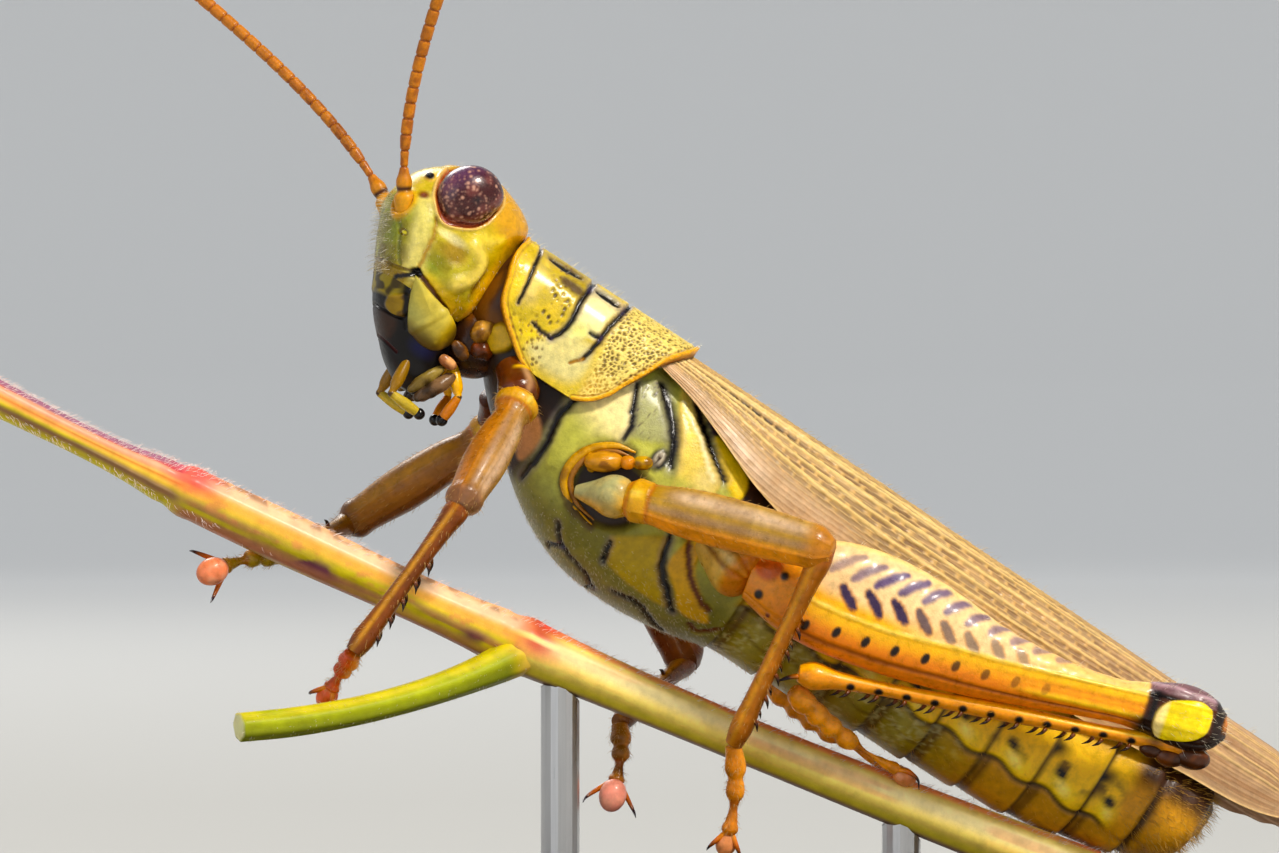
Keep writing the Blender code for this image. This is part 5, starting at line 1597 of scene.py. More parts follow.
def claws(bundle, end, way, size, arolium, spread, lift):
    """Two hooked claws, yellow at their roots and black at their tips, with a soft pad between."""
    way = unit(way)
    side = unit(np.cross(lift, way))
    up = np.cross(way, side)
    for hand in (1.0, -1.0):
        points = [end + size * (0.05 * way + 0.1 * hand * side),
                  end + size * (0.32 * way + 0.3 * hand * spread * side + 0.1 * up),
                  end + size * (0.62 * way + 0.5 * hand * spread * side + 0.02 * up),
                  end + size * (0.8 * way + 0.55 * hand * spread * side - 0.25 * up)]
        cone(bundle, points, (0.1, 0.09, 0.055, 0.012), (0xe29628, 0xc86e1e, INK, BLACK), from_insect)
    pad_axes = along_axes(way, lift, 0.42 * size, 0.34 * size, 0.3 * size)
    pad = ball(end + size * (0.4 * way - 0.1 * up), pad_axes, arolium, 30, 36)
    pad.paint(smooth(0.5, 0.8, noise(pad.grid, 0.3, 121)) * 0.4, 0xf4bea0)
    bundle.add_skin(pad, from_insect)


def spines(bundle, path, outward, up, count, start, length, lean):
    """Two rows of black-tipped spines under a shin, pointing towards the foot."""
    path = np.asarray(path)
    way = unit(path[-1] - path[0])
    span = np.linalg.norm(path[-1] - path[0])
    for hand in (1.0, -1.0):
        for number in range(count):
            place = start + (0.94 - start) * (number + (0.25 if hand < 0 else 0)) / count
            root = path[0] + way * span * place + up * -0.26 + outward * 0.16 * hand
            stand = unit(-up + 0.55 * hand * outward)
            tip = root + length * (stand * 0.8 + lean * way)
            middle = root + length * (stand * 0.45 + 0.35 * lean * way)
            cone(bundle, [root, middle, tip], (0.085, 0.055, 0.008), (0x784018, 0x28140c, BLACK),
                 from_insect, 6)


# colours of a thigh: its middle, the painted sheen along its top, its lower side and its knee
LEG_SHADES = {
    "fore_left": (0xa67a42, 0xceae92, 0xb47022, 0x7c5642),
    "fore_right": (0x96641c, 0xb28230, 0x7c4a12, 0x603c28),
    "mid_left": (0xae883e, 0xd8bca0, 0xe89628, 0xb07034),
    "mid_right": (0x8c541a, 0xa86c28, 0x70380e, 0x5a3418),
}
SHIN_SHADES = {"fore_left": 0x7a4214, "fore_right": 0x8c6022, "mid_left": 0xba741a,
               "mid_right": 0x8c5c1e}
FOOT_SHADES = {
    "fore_left": (0xbe541e, 0xe26e4a), "fore_right": (0xa08432, 0xe28a68),
    "mid_left": (0xce821e, 0xe29668), "mid_right": (0x82541e, 0xe29684),
    "hind_left": (0xec9c4a, 0xce8256), "hind_right": (0xec9c4a, 0xce8256),
}
# rings along each part of a leg, and sides round it
COXA_MESH = (60, 72)
THIGH_MESH = (150, 90)
SHIN_MESH = (150, 40)
HIND_THIGH_MESH = (360, 176)
HIND_SHIN_MESH = (260, 48)
FOOT_SIDES = 44
# how far a coxa's root lies from the hip, its size at root and end, and its colour
COXAE = {"fore": ((0.7, -1.0, 0.75), 0.6, 0.72, 0x5a2c16),
         "mid": ((1.5, -0.75, -0.7), 0.24, 0.74, 0xb6ac78),
         "hind": ((1.4, -1.0, 0.5), 1.0, 1.12, 0xba9854)}


# place, way, half length, half depth, half height and colour of the knobs over the middle coxa
SOCKET_KNOBS = [((0.62, 2.5, 0.12), (-0.84, 0, 0.54), 0.66, 0.36, 0.46, 0xc48c42),
                ((0.95, 2.42, -0.1), (-0.84, 0, 0.54), 0.2, 0.36, 0.18, 0xf4c43c),
                ((-0.05, 2.68, 0.52), (-0.84, 0, 0.54), 0.26, 0.24, 0.3, 0xce8838),
                ((-0.48, 2.72, 0.78), (-0.84, 0, 0.54), 0.34, 0.24, 0.3, 0xca9e42)]


class Leg:
    """Where a leg's joints lie, and the pair and the side that it belongs to."""

    def __init__(self, name):
        self.name = name
        self.pair, side = name.split("_")
        self.hind = self.pair == "hind"
        self.hand = HANDS[side]
        self.outward = np.array((0.0, self.hand, 0.0))
        hip, self.thigh, self.shin, self.foot = LEGS[name]
        self.hip = np.array(hip)
        self.knee = self.hip + self.thigh[0] * direction(*self.thigh[1:])
        # the hind shin hangs from the lower side of its knee
        self.shin_top = self.knee + (np.array((0.1, -0.2 * self.hand, -0.9)) if self.hind else 0)
        self.ankle = self.shin_top + self.shin[0] * direction(*self.shin[1:])

    def build(self, part, skins, slot):
        build_piece(f"{self.name}_{part}", skins, from_insect, LEG_FINISH, slot,
                    f"{self.name}_{part.split('_')[0]}")


def paint_coxa(limb, pair):
    b, s = limb.b, limb.s
    limb.mottle(0.5, 0.16, 131)
    if pair == "fore":
        limb.paint(bump(b, 0.55, 0.3) * 0.7, 0xc4966e)
        limb.paint(bump(s, 0.32, 0.1) * smooth(-0.2, 0.2, b) * 0.9, 0xe2b028, 0.05)
        limb.wet[:] = 0.8
    elif pair == "mid":
        limb.paint(smooth(-0.1, -0.8, b) * 0.7, 0xd69c3c)
        limb.paint(smooth(0.7, 0.95, s) * 0.8, 0xd8a64c)
        limb.paint(smooth(0.45, 0.65, noise(limb.grid, 0.4, 135)) * 0.3, 0x96a07c)
    else:
        for groove in (0.15, -0.45):
            limb.paint(bump(b, groove, 0.12) * 0.8, 0x683814, -0.08)
        limb.paint(bump(b, -0.15, 0.2) * 0.7, 0xf0dca0, 0.03)
        limb.paint(smooth(0.72, 0.9, s) * 0.8, 0xc47424)


def socket_knobs(hand):
    flip = np.array((1.0, hand, 1.0))
    for spot, way, length, width, height, colour in SOCKET_KNOBS:
        knob = ball(np.array(spot) * flip, along_axes(way, (0, 1, 0), length, width, height), colour, 40,
                    44, 0.8)
        knob.paint(smooth(0.45, 0.65, noise(knob.chart * flip, 0.3, 137)) * 0.7, 0x603212)
        knob.wet[:] = 0.8
        yield knob


def make_coxa(leg):
    offset, thin, thick, shade = COXAE[leg.pair]
    root = leg.hip + np.array(offset) * (1.0, leg.hand, 1.0)
    end = leg.hip + 0.2 * unit(leg.hip - root)
    profile = round_profile([(0.0, thin), (0.3, 0.45 * thin + 0.5 * thick), (0.6, thick),
                             (0.8, 0.97 * thick), (0.92, 0.8 * thick), (1.0, 0.5 * thick)])
    limb = Limb(straight(root, end, COXA_MESH[0], False), profile, COXA_MESH[1], (0.0, 0.1, 1.0),
                leg.outward, shade)
    paint_coxa(limb, leg.pair)
    limb.lift -= 0.03
    leg.build("coxa_plate", [limb, *(socket_knobs(leg.hand) if leg.pair == "mid" else ())], "coxa")


def make_femur(leg):
    end = leg.knee + (0.5 if leg.hind else 0.3) * direction(*leg.thigh[1:])
    if leg.hind:
        limb = Limb(straight(leg.hip, end, HIND_THIGH_MESH[0], False), HIND_THIGH, HIND_THIGH_MESH[1], BACK,
                    leg.outward, 0xf0b23c, 2.3)
        paint_hind_thigh(limb, leg.hand)
    else:
        profile = THIGH if leg.pair == "fore" else SLIM_THIGH
        shades = LEG_SHADES[leg.name]
        limb = Limb(straight(leg.hip, end, THIGH_MESH[0], False), profile, THIGH_MESH[1], BACK, leg.outward,
                    shades[0])
        paint_thigh(limb, shades)
    limb.lift -= 0.03
    leg.build("femur_banded", [limb], "hind_femur" if leg.hind else "leg")
    return limb


SHIN_SPINES = 11                # in each row of a hind shin
SHIN_SPINES_START = 0.16
# lumps where a hind shin meets its knee: how far down the shin, out and below they lie, and their size
KNEE_LUMPS = ((0.0, 0.12, 0.3, 0.5), (0.75, 0.1, 0.42, 0.42), (1.4, 0.1, 0.3, 0.34))


def hind_tibia(leg, bundle):
    """Orange, pale above, with a black knee end, black spots, two rows of spines and two spurs."""
    way = unit(leg.ankle - leg.shin_top)
    down = unit(np.cross(np.cross(way, (0, 0, -1.0)), way))
    path = straight(leg.shin_top, leg.ankle, HIND_SHIN_MESH[0], False)
    limb = Limb(path, HIND_SHIN, HIND_SHIN_MESH[1], leg.outward, leg.outward, 0xe49628)
    limb.paint(smooth(0.0, 0.6, limb.b) * 0.7, 0xfaba32)
    limb.paint(smooth(0.5, 0.3, limb.s) * bump(limb.b, 0.3, 0.3) * 0.7, 0xffd678)
    limb.paint(smooth(0.06, 0.0, limb.s), 0x28160e)
    limb.paint(bump(limb.s, 0.1, 0.03) * 0.7, 0x3c1e0e)
    for number in range(SHIN_SPINES):
        place = SHIN_SPINES_START + 0.78 * number / SHIN_SPINES
        centre = leg.shin_top + way * leg.shin[0] * place + 0.3 * leg.outward + down * 0.14
        limb.paint(smooth(0.2, 0.11, np.linalg.norm(limb.grid - centre, axis=-1)), BLACK)
    for back, out, low, size in KNEE_LUMPS:
        lump = ball(leg.shin_top + way * back + out * leg.outward + low * down,
                    along_axes(way, leg.outward, 1.2 * size, 0.8 * size, 0.8 * size), 0x422210, 30, 36)
        lump.paint(smooth(0.5, 0.7, noise(lump.grid, 0.3, 143)) * 0.5, 0x78421a)
        lump.wet[:] = 0.8
        bundle.add_skin(lump, from_insect)
    spines(bundle, (leg.shin_top, leg.ankle), leg.outward, -down, SHIN_SPINES, SHIN_SPINES_START, 0.4, 0.8)
    for hand in HANDS.values():
        root = leg.ankle + 0.22 * hand * leg.outward + 0.1 * down
        cone(bundle, [root, root + 0.3 * way + 0.12 * down, root + 0.62 * way + 0.3 * down],
             (0.09, 0.06, 0.01), (0xc47628, INK, BLACK), from_insect, 6)
    return limb


def plain_tibia(leg, bundle):
    """Brown, paler in front and darker behind, with two short rows of spines."""
    way = unit(leg.ankle - leg.shin_top)
    path = straight(leg.shin_top, leg.ankle, SHIN_MESH[0], False)
    limb = Limb(path, SHIN, SHIN_MESH[1], leg.outward, leg.outward, SHIN_SHADES[leg.name])
    limb.mottle(0.5, 0.2, 141)
    forward = limb.grid[..., 0] - limb.grid[..., 0].mean(1, keepdims=True)
    limb.paint(bump(forward, 0.15, 0.15) * 0.5, 0xf4b450)
    limb.paint(smooth(0.0, -0.3, forward) * 0.5, 0x68340e)
    limb.paint(smooth(0.1, 0.02, limb.s) * 0.5, 0x965422)
    limb.paint(smooth(0.85, 1.0, limb.s) * 0.4, BROWN)
    side_way = unit(np.cross(way, leg.outward)) if abs(way @ leg.outward) < 0.95 else np.array((1.0, 0, 0))
    spines(bundle, (leg.shin_top, leg.ankle), unit(np.cross(way, side_way)), side_way, 5, 0.35, 0.34, 0.9)
    return limb


def make_tibia(leg):
    bundle = Bundle(f"{leg.name}_tibia_spined")
    limb = (hind_tibia if leg.hind else plain_tibia)(leg, bundle)
    limb.lift -= 0.02
    bundle.add_skin(limb, from_insect)
    bundle.build(LEG_FINISH, "hind_tibia" if leg.hind else "leg", (f"{leg.name}_tibia",))
    return limb


# the feet of the far side hang free, with their claws spread wide
FREE_FEET = ("fore_right", "mid_right")


def make_tarsus(leg):
    """Lobed foot joints with grooves between them, ending in two claws and a pad."""
    gap = np.array((-0.25, -0.5 * leg.hand, -0.55)) if leg.hind else 0.1 * direction(*leg.foot[1:])
    path = spline(foot_path(leg.ankle + gap, *leg.foot, -20.0 if leg.hind else 25.0), 22)
    up = BACK if leg.hind else (0.3, leg.hand, 0.2)
    profile = HIND_FOOT if leg.hind else FOOT
    shade, pad = FOOT_SHADES[leg.name]
    # the last stretch of the path belongs to the claws
    reach = profile[-1][0]
    places = np.linspace(0, 1, len(path))
    keep = places <= reach + 1e-6
    rows = [(place / reach, *rest) for place, *rest in profile]
    limb = Limb(path[keep], rows, FOOT_SIDES, up, leg.outward, shade)
    limb.mottle(0.3, 0.2, 151)
    limb.paint(smooth(0.0, 0.8, limb.b) * smooth(0.7, 0.5, limb.s) * 0.55, 0xfcb06e)
    widths = curve_through(profile, places[keep])[:, 0]
    groove = smooth(0.27, 0.2, widths)[:, None] * smooth(0.9, 0.6, limb.s)
    limb.paint(groove * 0.6, 0x964c18)
    limb.paint(smooth(0.8, 1.0, limb.s) * 0.4, 0xc8781e)
    limb.wet[:] = 0.4
    bundle = Bundle(f"{leg.name}_tarsus_clawed")
    bundle.add_skin(limb, from_insect)
    way = unit(path[-1] - path[-8])
    end = path[keep][-1] - 0.1 * way
    if leg.name in FREE_FEET:
        claws(bundle, end, way, 1.35, pad, 1.25, leg.outward)
    else:
        length = path[-1] - path[0]
        claws(bundle, end, way, 1.05, pad, 1.0, unit(np.cross(np.cross(length, up), length)))
    bundle.build(LEG_FINISH, "tarsus", (f"{leg.name}_tarsus",))
    return limb


def make_leg(name):
    leg = Leg(name)
    make_coxa(leg)
    return [make_femur(leg), make_tibia(leg), make_tarsus(leg)]


# ---------------------------------------------------------------- stem and stand

STEM_START = (-22.9, -0.8, 20.95)
STEM_LENGTH = 41.0
STEM_SLOPE = (27.0, 20.5)
STEM_RADIUS = (0.62, 0.92)
STEM_LEAF_NODE = 0.19
STEM_SHOOT_NODE = 0.49
SHOOT_LENGTH = 11.6
SHOOT_RADIUS = (0.62, 0.5)
SHOOT_STEPS = 6
PITH = 0xe2dea8
STEM_STEPS = 16


def stem_path():
    """Down to the right, less and less steeply."""
    point = np.array(STEM_START)
    path = [point]
    for step in range(STEM_STEPS):
        slope = math.radians(np.interp((step + 0.5) / STEM_STEPS, (0, 1), STEM_SLOPE))
        point = point + STEM_LENGTH / STEM_STEPS * np.array((math.cos(slope), 0.0, -math.sin(slope)))
        path.append(point)
    return np.array(path)


def paint_stem(skin, seed):
    """Ribbed and striped lengthways: flushed violet and salmon above, cream and yellow with a pale cream
    painted highlight along the upper side, olive below.
    """
    s, b = skin.s, skin.b
    skin.mottle(1.4, 0.12, seed)
    first, second = STEM_LEAF_NODE, STEM_SHOOT_NODE
    left = smooth(first + 0.01, first - 0.01, s)
    right = smooth(second - 0.01, second + 0.02, s)
    middle = 1 - left - right
    streak = noise(np.stack((s * 14, b * 5, 0 * s), -1), 1.0, seed + 1)
    skin.paint(left * smooth(-0.3, 0.1, b), 0xecc068)
    skin.paint(left * smooth(0.15, 0.45, b), 0xeeae90)
    skin.paint(left * bump(b, 0.12, 0.12) * 0.8, 0xce703e)
    skin.paint(left * smooth(0.68, 0.86, b), 0xa07086)
    skin.paint(left * bump(b, 0.7, 0.12) * smooth(0.4, 0.6, streak), 0xb03c5c)
    skin.paint(left * bump(b, -0.5, 0.4) * 0.85, 0x845250, -0.03)
    skin.paint(left * bump(b, -0.3, 0.1) * smooth(0.35, 0.6, streak) * 0.8, 0xd6b296)
    skin.paint(middle * smooth(0.1, -0.35, b) * smooth(0.62, 0.35, streak + 0.1 * b) * 0.8, 0xac7a5c)
    skin.paint(middle * smooth(-0.2, 0.2, b), 0xf4b868)
    # painted highlight: a pale cream band along the upper side between the two nodes
    skin.paint(middle * smooth(0.25, 0.6, b), 0xf4ceaa)
    skin.paint(middle * smooth(0.8, 0.95, b) * 0.6, 0xf0aa78)
    cloud = noise(skin.grid * np.array((0.7, 1, 1)), 0.55, seed + 2)
    patch = smooth(0.42, 0.62, cloud) * bump(b, -0.5, 0.45)
    skin.paint(middle * patch * smooth(first + 0.04, first + 0.1, s) * 0.95, 0x6e3a54)
    speck = smooth(0.5, 0.7, noise(skin.grid * np.array((1.0, 1, 2.0)), 0.35, seed + 3))
    skin.paint(middle * speck * bump(b, -0.1, 0.5) * 0.5, 0xce7860)
    skin.paint(middle * speck * smooth(0.7, 0.9, b) * 0.6, 0x785446)
    skin.paint(middle * smooth(-0.5, -0.8, b) * 0.6, 0xaa685c)
    skin.paint(right, 0xfade82)
    # painted highlight: a cream-white band below the top, past the shoot's node
    skin.paint(right * bump(b, 0.3, 0.6), 0xf4e2ac)
    skin.paint(right * smooth(0.72, 0.92, b) * smooth(0.25, 0.55, streak + 0.2), 0xf0986e)
    skin.paint(right * smooth(-0.35, -0.75, b), 0xccba54)
    skin.paint(right * smooth(-0.75, -0.95, b), 0x967860)
    skin.paint(smooth(0.55, 0.75, streak) * (left + right) * bump(b, 0.2, 0.8) * 0.35, 0xe68c64)
    skin.paint(bump(s, first + 0.004, 0.035) * smooth(-0.5, 0.4, b + 0.6 * (streak - 0.5)) * 0.85, 0xe2585c)
    skin.paint(bump(s, second + 0.01, 0.03) * smooth(-0.6, 0.3, b) * smooth(0.3, 0.6, streak + 0.1) * 0.85,
               0xc43e42)
    for place in (first, second):
        skin.lift += 0.05 * bump(s, place + 0.004, 0.012) - 0.05 * bump(s, place - 0.012, 0.01)


def paint_shoot(skin, seed):
    """Bright green, yellow where it joins, darker below."""
    s, b = skin.s, skin.b
    skin.mottle(1.0, 0.2, seed)
    skin.paint(smooth(0.1, -0.6, b) * 0.8, 0x6a7012)
    skin.paint(smooth(0.2, 0.7, b) * smooth(0.3, 0.6, noise(skin.grid, 1.2, seed + 1) + 0.1) * 0.7,
               0xd8c43c)
    skin.paint(smooth(0.14, 0.04, s) * 0.8, 0xf0c46e)


RIB_HEIGHT = 0.02
STEM_SIDES, STEM_RIBS = 64, 8
SHOOT_SIDES, SHOOT_RIBS = 56, 7


def make_stalk(path, radii, sides, ribs, colour):
    """A plain ribbed stalk along a path."""
    stalk = Limb(path, round_profile(radii), sides, BACK, (0.0, -1.0, 0.0), colour)
    turn = np.linspace(0, 2 * math.pi, sides, endpoint=False)[None]
    stalk.lift += RIB_HEIGHT * np.sin(ribs * turn) - 0.03
    return stalk


def make_stem():
    """The slanting stem and the shoot that leaves it near its middle."""
    thin, thick = STEM_RADIUS
    radii = [(0.0, thin), (STEM_LEAF_NODE - 0.05, thin), (STEM_LEAF_NODE, 0.8 * thin + 0.35),
             (STEM_LEAF_NODE + 0.06, 0.9), (STEM_SHOOT_NODE - 0.05, 0.86), (STEM_SHOOT_NODE, 0.98),
             (STEM_SHOOT_NODE + 0.05, 0.9), (1.0, thick)]
    coarse = stem_path()
    stem = make_stalk(spline(coarse, 42), radii, STEM_SIDES, STEM_RIBS, 0xd0c04c)
    paint_stem(stem, 161)
    way = [coarse[int(round(STEM_SHOOT_NODE * (len(coarse) - 1)))]]
    for step in range(SHOOT_STEPS):
        way.append(way[-1] + direction(-146.0 - 2.4 * step, -19.0 + 3.0 * step) * SHOOT_LENGTH
                   / SHOOT_STEPS)
    radii = [(0.0, 0.75), (0.15, SHOOT_RADIUS[0]), (1.0, SHOOT_RADIUS[1])]
    shoot = make_stalk(spline(way, 40), radii, SHOOT_SIDES, SHOOT_RIBS, 0xa4aa1a)
    paint_shoot(shoot, 171)
    made = finish("stem_skin", 0.48, 0.1, 0.14, 0.5, 0.4, 0.06, coat=0.1, soft=0.1)
    for name, stalk, replaced in (
            ("stem_ribbed", stem, "perch_stem"), ("shoot_ribbed", shoot, "perch_shoot")):
        cut_ends(stalk)
        build_piece(name, [stalk], from_world, made, "stem", replaced)
    return stem, shoot


def cut_ends(limb):
    """Pale pith where the stem was cut, inside a green rind."""
    for row in (0, -1):
        limb.tint[row] = rgb(PITH)
        limb.lift[row] -= 0.1


def grained(name, scale, dark, pale, gloss, **settings):
    """A material whose colour and gloss follow a stretched noise. Gives its tree, shader and noise too."""
    made, tree, shader = material(name)
    link = tree.links.new
    mapping = node(tree, "ShaderNodeMapping", Scale=scale)
    link(node(tree, "ShaderNodeTexCoord").outputs["Object"], mapping.inputs["Vector"])
    grain = node(tree, "ShaderNodeTexNoise", Scale=1.0, **settings)
    link(mapping.outputs["Vector"], grain.inputs["Vector"])
    tone = node(tree, "ShaderNodeValToRGB")
    for element, colour in zip(tone.color_ramp.elements, (dark, pale)):
        element.color = (*colour, 1)
    link(grain.outputs["Fac"], tone.inputs["Fac"])
    link(tone.outputs["Color"], shader.inputs["Base Color"])
    link(remap(tree, grain.outputs["Fac"], (0.0, 1.0), gloss), shader.inputs["Roughness"])
    return made, tree, shader, grain.outputs["Fac"]


def dark_wood():
    made, tree, shader, grain = grained("dark_wood", (60.0, 900.0, 900.0), (0.012, 0.007, 0.004),
                                        (0.07, 0.035, 0.018), (0.28, 0.45), Detail=6.0, Roughness=0.65,
                                        Distortion=0.4)
    relief = node(tree, "ShaderNodeBump", Strength=0.25, Distance=BUMP_HEIGHT * MM)
    tree.links.new(grain, relief.inputs["Height"])
    tree.links.new(relief.outputs["Normal"], shader.inputs["Normal"])
    shader.inputs["Coat Weight"].default_value = 0.3
    return made


def brushed_steel():
    made, _, shader, _ = grained("brushed_steel", (6000.0, 6000.0, 150.0), (0.42, 0.42, 0.43),
                                 (0.66, 0.66, 0.67), (0.22, 0.4), Detail=4.0)
    shader.inputs["Metallic"].default_value = 1.0
    return made


def dress_stand():
    steel = brushed_steel()
    for name, made in (("stand_rod_front", steel), ("stand_rod_rear", steel), ("stand_base", dark_wood())):
        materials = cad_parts[name].data.materials
        materials.clear()
        materials.append(made)


# ---------------------------------------------------------------- hairs

TUFT_PATCH = 0.003              # size of a hair's own patch on its map


# a hair: three points round its root, three round its middle and its tip, and its own patch of the map
HAIR_SIDES = 3
HAIR_FACES = [(0, 1, 4, 3), (1, 2, 5, 4), (2, 0, 3, 5), (3, 4, 6), (4, 5, 6), (5, 3, 6)]
HAIR_POINTS = 7
HAIR_PATCH = [(0, 0), (1, 0), (0.5, 0.5), (0, 0.5), (1, 0.5), (0.5, 0.7), (0.5, 1)]


def hair_roots(skin, mask, count, chance):
    """Scattered roots on a skin, denser where mask is high, their normals and their places on its map."""
    grid = skin.points()
    rows, columns = grid.shape[:2]
    weight = np.broadcast_to(mask, grid.shape[:2]).ravel().clip(0)
    along = np.linalg.norm(np.gradient(grid, axis=0), axis=-1)
    across = np.linalg.norm(np.gradient(grid, axis=1), axis=-1)
    weight = weight * (along * across).ravel()
    picks = chance.choice(rows * columns, count, p=weight / weight.sum())
    row, column = picks // columns, picks % columns
    jitter = chance.rand(count, 2)
    beside = (column + 1) % columns if skin.closed else np.minimum(column + 1, columns - 1)
    below = np.minimum(row + 1, rows - 1)
    root = grid[row, column]
    root = root + jitter[:, :1] * (grid[row, beside] - root) * 0.9
    root = root + jitter[:, 1:] * (grid[below, column] - grid[row, column]) * 0.9
    spot = np.stack(((column + jitter[:, 0]) / columns, (row + jitter[:, 1]) / rows), -1) * (1 - TUFT_PATCH)
    return root, skin.normal[row, column], spot


def hairs(bundle, skin, place, mask, count, length, lie, stand, colour, radius, seed):
    """Tapering hairs over the part of a skin that mask picks, leaning along lie and out by stand."""
    chance = np.random.RandomState(seed)
    root, normal, spot = hair_roots(skin, mask, count, chance)
    flow = np.broadcast_to(np.asarray(lie, float), normal.shape)
    flow = unit(flow - normal * (flow * normal).sum(1, keepdims=True) + 0.25 * chance.randn(count, 3))
    way = unit(normal * stand + flow * (1 - stand) + 0.1 * chance.randn(count, 3))
    long = length * (0.55 + 0.75 * chance.rand(count))[:, None]
    middle = root + 0.55 * long * way
    tip = middle + 0.5 * long * unit(way + 0.35 * flow)
    side = unit(np.cross(way, normal) + 1e-6)
    up = np.cross(side, way)
    ring = []
    for centre, wide in ((root - 0.03 * normal, radius), (middle, 0.7 * radius)):
        for turn in range(HAIR_SIDES):
            angle = 2 * math.pi * turn / HAIR_SIDES
            ring.append(centre + wide * (math.cos(angle) * side + math.sin(angle) * up))
    points = np.stack(ring + [tip], 1)
    faces = [[HAIR_POINTS * number + corner for corner in face] for number in range(count)
             for face in HAIR_FACES]
    maps = (spot[:, None] + TUFT_PATCH * np.array(HAIR_PATCH)).reshape(-1, 2)
    tint = rgb(colour) * (0.8 + 0.35 * chance.rand(count))[:, None]
    bundle.add(place(points.reshape(-1, 3)), faces, np.repeat(tint, HAIR_POINTS, axis=0), 0.0, maps)


FAIR = 0xece4ce
TAWNY = 0xc49654


def make_coat(name, slot, made, patches):
    """One piece of hairs. A patch says what hairs() does after its bundle, apart from the seed."""
    bundle = Bundle(name)
    for number, patch in enumerate(patches):
        hairs(bundle, *patch, 31 + number)
    bundle.build(made, slot)


def head_coat(head):
    x, y, z = head.x, head.y, head.z
    face = smooth(3.0, 3.4, x + 0.3 * np.minimum(z, 0) + 0.4) * smooth(1.5, 0.9, y) * smooth(1.2, 0.4, z)
    return [(head, from_head, face, 230, 0.34, (0.2, 0.0, -1.0), 0.7, FAIR, 0.006),
            (head, from_head, smooth(1.4, 2.4, z), 90, 0.24, (-1.0, 0.0, 0.2), 0.6, FAIR, 0.006),
            (head, from_head, smooth(1.5, 0.0, z) * smooth(0.8, 1.4, y), 240, 0.13, (-0.3, 0.0, -1.0), 0.4,
             FAIR, 0.005)]


def pronotum_coat(skin):
    return [(skin, from_insect, smooth(4.4, 5.0, skin.z), 170, 0.3, (-1.0, 0.0, 0.1), 0.7, FAIR, 0.006),
            (skin, from_insect, smooth(5.0, 4.0, skin.z), 260, 0.12, (-1.0, 0.0, -0.5), 0.35, FAIR, 0.005)]


def trunk_coat(skin):
    """Short pile on the breast and under the abdomen, and long hairs at the tip."""
    x, z = skin.x, skin.z
    breast = smooth(-1.6, -2.6, z) * smooth(-6.5, -5.0, x)
    belly = smooth(-5.5, -6.5, x) * smooth(-0.4, -1.6, z)
    tip = smooth(-20.0, -21.5, x)
    return [(skin, from_insect, breast, 1700, 0.13, (-1.0, 0.0, 0.2), 0.4, FAIR, 0.006),
            (skin, from_insect, belly, 1200, 0.15, (-1.0, 0.0, -0.2), 0.35, TAWNY, 0.007),
            (skin, from_insect, tip, 1300, 0.4, (-1.0, 0.0, -0.3), 0.65, 0xbe9654, 0.009)]


def wing_coat(wings):
    for surface, place in wings:
        across = np.linspace(0, 1, surface.grid.shape[1])[None]
        top = smooth(0.3, 0.1, across) * smooth(0.0, -3.0, surface.x)
        yield surface, place, top, 170, 0.3, (-1.0, 0.0, 0.2), 0.55, 0xd6be96, 0.006


LIMB_HAIRS = (320, 300, 200)    # on a femur, a tibia and a tarsus


def leg_coat(legs):
    """Hairs that lie along each limb. A hind femur has them only at its knee and along its upper edge."""
    for name, limbs in legs.items():
        hind = name.startswith("hind")
        shade = TAWNY if hind else 0xceaa74
        for number, (limb, count) in enumerate(zip(limbs, LIMB_HAIRS)):
            if hind and number == 0:
                mask = smooth(0.75, 0.95, limb.s) + 0.15 * smooth(0.6, 0.9, limb.b)
                yield limb, from_insect, mask, 220, 0.28, (-1.0, 0.0, 0.1), 0.55, FAIR, 0.006
            else:
                way = limb.grid[-1].mean(0) - limb.grid[0].mean(0)
                yield limb, from_insect, 1 + 0 * limb.s, count, 0.2, way, 0.45, shade, 0.007


def stem_coat(stem, shoot):
    ridge = smooth(0.6, 0.9, stem.b) + 0.8 * bump(stem.b, -0.72, 0.2) * smooth(0.3, 0.15, stem.s)
    fuzzy = 0.25 + smooth(0.25, 0.15, stem.s)
    return [(stem, from_world, ridge * fuzzy, 2200, 0.26, (1.0, 0.0, -0.3), 0.45, 0xfae8e2, 0.008),
            (shoot, from_world, 1 + 0 * shoot.s, 400, 0.13, (-1.0, 0.0, -0.3), 0.4, FAIR, 0.006)]


def make_hairs(trunk, pronotum, head, wings, legs, stem, shoot):
    made = finish("hair", 0.42, 0.05, 0.05, 0.3, 0.0, 0.05)
    make_coat("head_hairs", "cuticle_head", made, head_coat(head))
    make_coat("pronotum_hairs", "pronotum", made, pronotum_coat(pronotum))
    make_coat("trunk_hairs", "thorax", made, trunk_coat(trunk))
    make_coat("wing_hairs", "wing", made, wing_coat(wings))
    make_coat("leg_hairs", "leg", made, leg_coat(legs))
    make_coat("stem_hairs", "stem", made, stem_coat(stem, shoot))


# ---------------------------------------------------------------- stage, light and camera

CAMERA_TARGET = np.array((-0.65, 0.0, 19.6))
CAMERA_DISTANCE = 215.0
CAMERA_AZIMUTH = math.radians(-6.0)
SENSOR = 36.0
VIEW_WIDTH = 42.919463            # millimetres across the view at the target


def aim(item, spot):
    item.rotation_euler = (Vector(spot) - item.location).to_track_quat("-Z", "Y").to_euler()


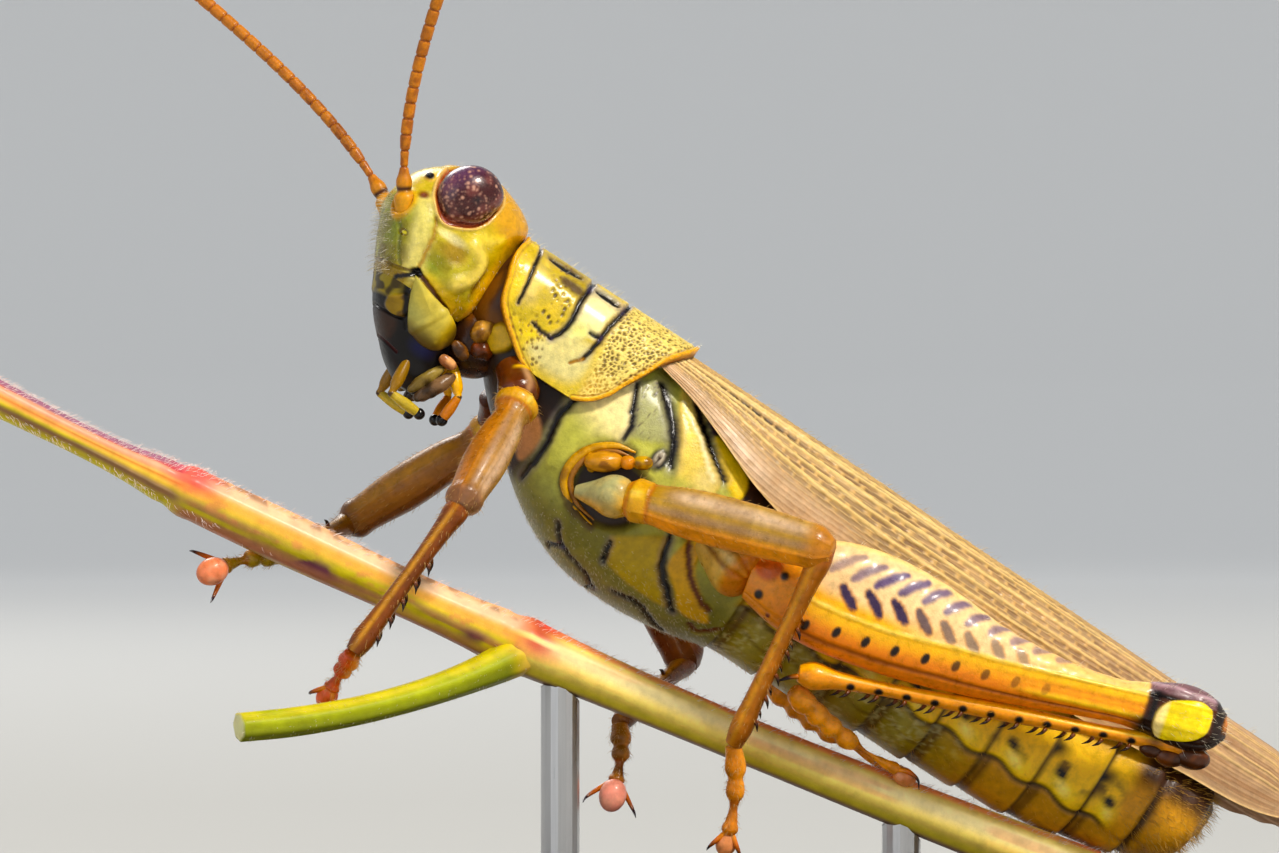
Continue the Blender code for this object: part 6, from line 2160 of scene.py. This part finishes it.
def make_camera():
    camera = bpy.data.objects.new("camera", bpy.data.cameras.new("camera"))
    bpy.context.scene.collection.objects.link(camera)
    back = np.array((math.sin(CAMERA_AZIMUTH), -math.cos(CAMERA_AZIMUTH), 0.0))
    camera.location = (CAMERA_TARGET + CAMERA_DISTANCE * back) * MM
    aim(camera, CAMERA_TARGET * MM)
    camera.data.sensor_width = SENSOR
    camera.data.lens = SENSOR * CAMERA_DISTANCE / VIEW_WIDTH
    camera.data.clip_start = 0.01
    camera.data.clip_end = 10.0
    bpy.context.scene.camera = camera


# the floor in metres: its radius, its sides, and the share of the radius and the height of each ring
FLOOR_RADIUS = 1.2
FLOOR_SIDES = 64
FLOOR_RINGS = [(0.4, 0.0), (0.8, 0.0), (1.0, 0.03), (1.12, 0.12), (1.2, 0.3), (1.2, 1.6)]


def floor_mesh():
    points = [(0.0, 0.0, 0.0)]
    for share, height in FLOOR_RINGS:
        for turn in np.linspace(0, 2 * math.pi, FLOOR_SIDES, endpoint=False):
            reach = FLOOR_RADIUS * share
            points.append((reach * math.cos(turn), reach * math.sin(turn), height))
    faces = [(0, 1 + side, 1 + (side + 1) % FLOOR_SIDES) for side in range(FLOOR_SIDES)]
    for ring in range(len(FLOOR_RINGS) - 1):
        for side in range(FLOOR_SIDES):
            here, beside = [1 + ring * FLOOR_SIDES + turn for turn in (side, (side + 1) % FLOOR_SIDES)]
            faces.append((here, here + FLOOR_SIDES, beside + FLOOR_SIDES, beside))
    mesh = bpy.data.meshes.new("floor")
    mesh.from_pydata(points, [], faces)
    mesh.shade_smooth()
    return mesh


def make_paper():
    """Pale paper. The wall glows a little, as a light tent does, so that it stays as pale as the floor."""
    paper, tree, shader = material("paper")
    shader.inputs["Base Color"].default_value = (0.5, 0.5, 0.485, 1)
    shader.inputs["Roughness"].default_value = 0.8
    reach = node(tree, "ShaderNodeVectorMath", operation="LENGTH")
    tree.links.new(node(tree, "ShaderNodeTexCoord").outputs["Object"], reach.inputs[0])
    glow = remap(tree, reach.outputs["Value"], (0.12, 0.6), (0.0, 0.3))
    tree.links.new(glow, shader.inputs["Emission Strength"])
    shader.inputs["Emission Color"].default_value = (0.93, 0.96, 1.0, 1)
    return paper


def make_stage():
    """A pale floor that curves up into a backdrop, far enough away to stay plain in every view."""
    mesh = floor_mesh()
    mesh.materials.append(make_paper())
    floor = bpy.data.objects.new("floor", mesh)
    bpy.context.scene.collection.objects.link(floor)


LIGHT_TARGET = (0.0, 0.0, 0.02)


def add_light(name, spot, size, power, colour):
    """A round lamp aimed at the insect. Its place and its size are in metres."""
    light = bpy.data.lights.new(name, "AREA")
    light.shape = "DISK"
    light.size = size
    light.energy = power
    light.color = colour
    lamp = bpy.data.objects.new(name, light)
    bpy.context.scene.collection.objects.link(lamp)
    lamp.location = spot
    aim(lamp, LIGHT_TARGET)


def make_lights():
    world = bpy.data.worlds.new("studio")
    world.use_nodes = True
    world.node_tree.nodes["Background"].inputs["Color"].default_value = (0.82, 0.9, 1.0, 1)
    world.node_tree.nodes["Background"].inputs["Strength"].default_value = 0.06
    bpy.context.scene.world = world
    add_light("key", (0.19, -0.27, 0.36), 0.08, 2.35, (1.0, 0.94, 0.84))
    add_light("fill", (-0.35, -0.3, 0.15), 0.35, 0.3, (0.9, 0.95, 1.0))
    add_light("rim", (-0.1, 0.35, 0.35), 0.25, 1.2, (1.0, 0.98, 0.95))
    bpy.context.scene.view_settings.view_transform = "Standard"
    bpy.context.scene.view_settings.look = "None"


# ---------------------------------------------------------------- the whole model

make_camera()
make_stage()
make_lights()
LEG_FINISH = finish("cuticle_leg", 0.34, 0.12, 0.2, 0.3, 0.7, 0.06, coat=0.3, soft=0.04)
TRUNK = make_trunk()
PRONOTUM = make_pronotum()
HEAD = make_head()
make_eyes()
make_mouth()
make_palps()
make_antennae()
WINGS = make_wings()
LIMBS = {leg: make_leg(leg) for leg in LEGS}
STEM, SHOOT = make_stem()
make_hairs(TRUNK, PRONOTUM, HEAD, WINGS, LIMBS, STEM, SHOOT)
dress_stand()
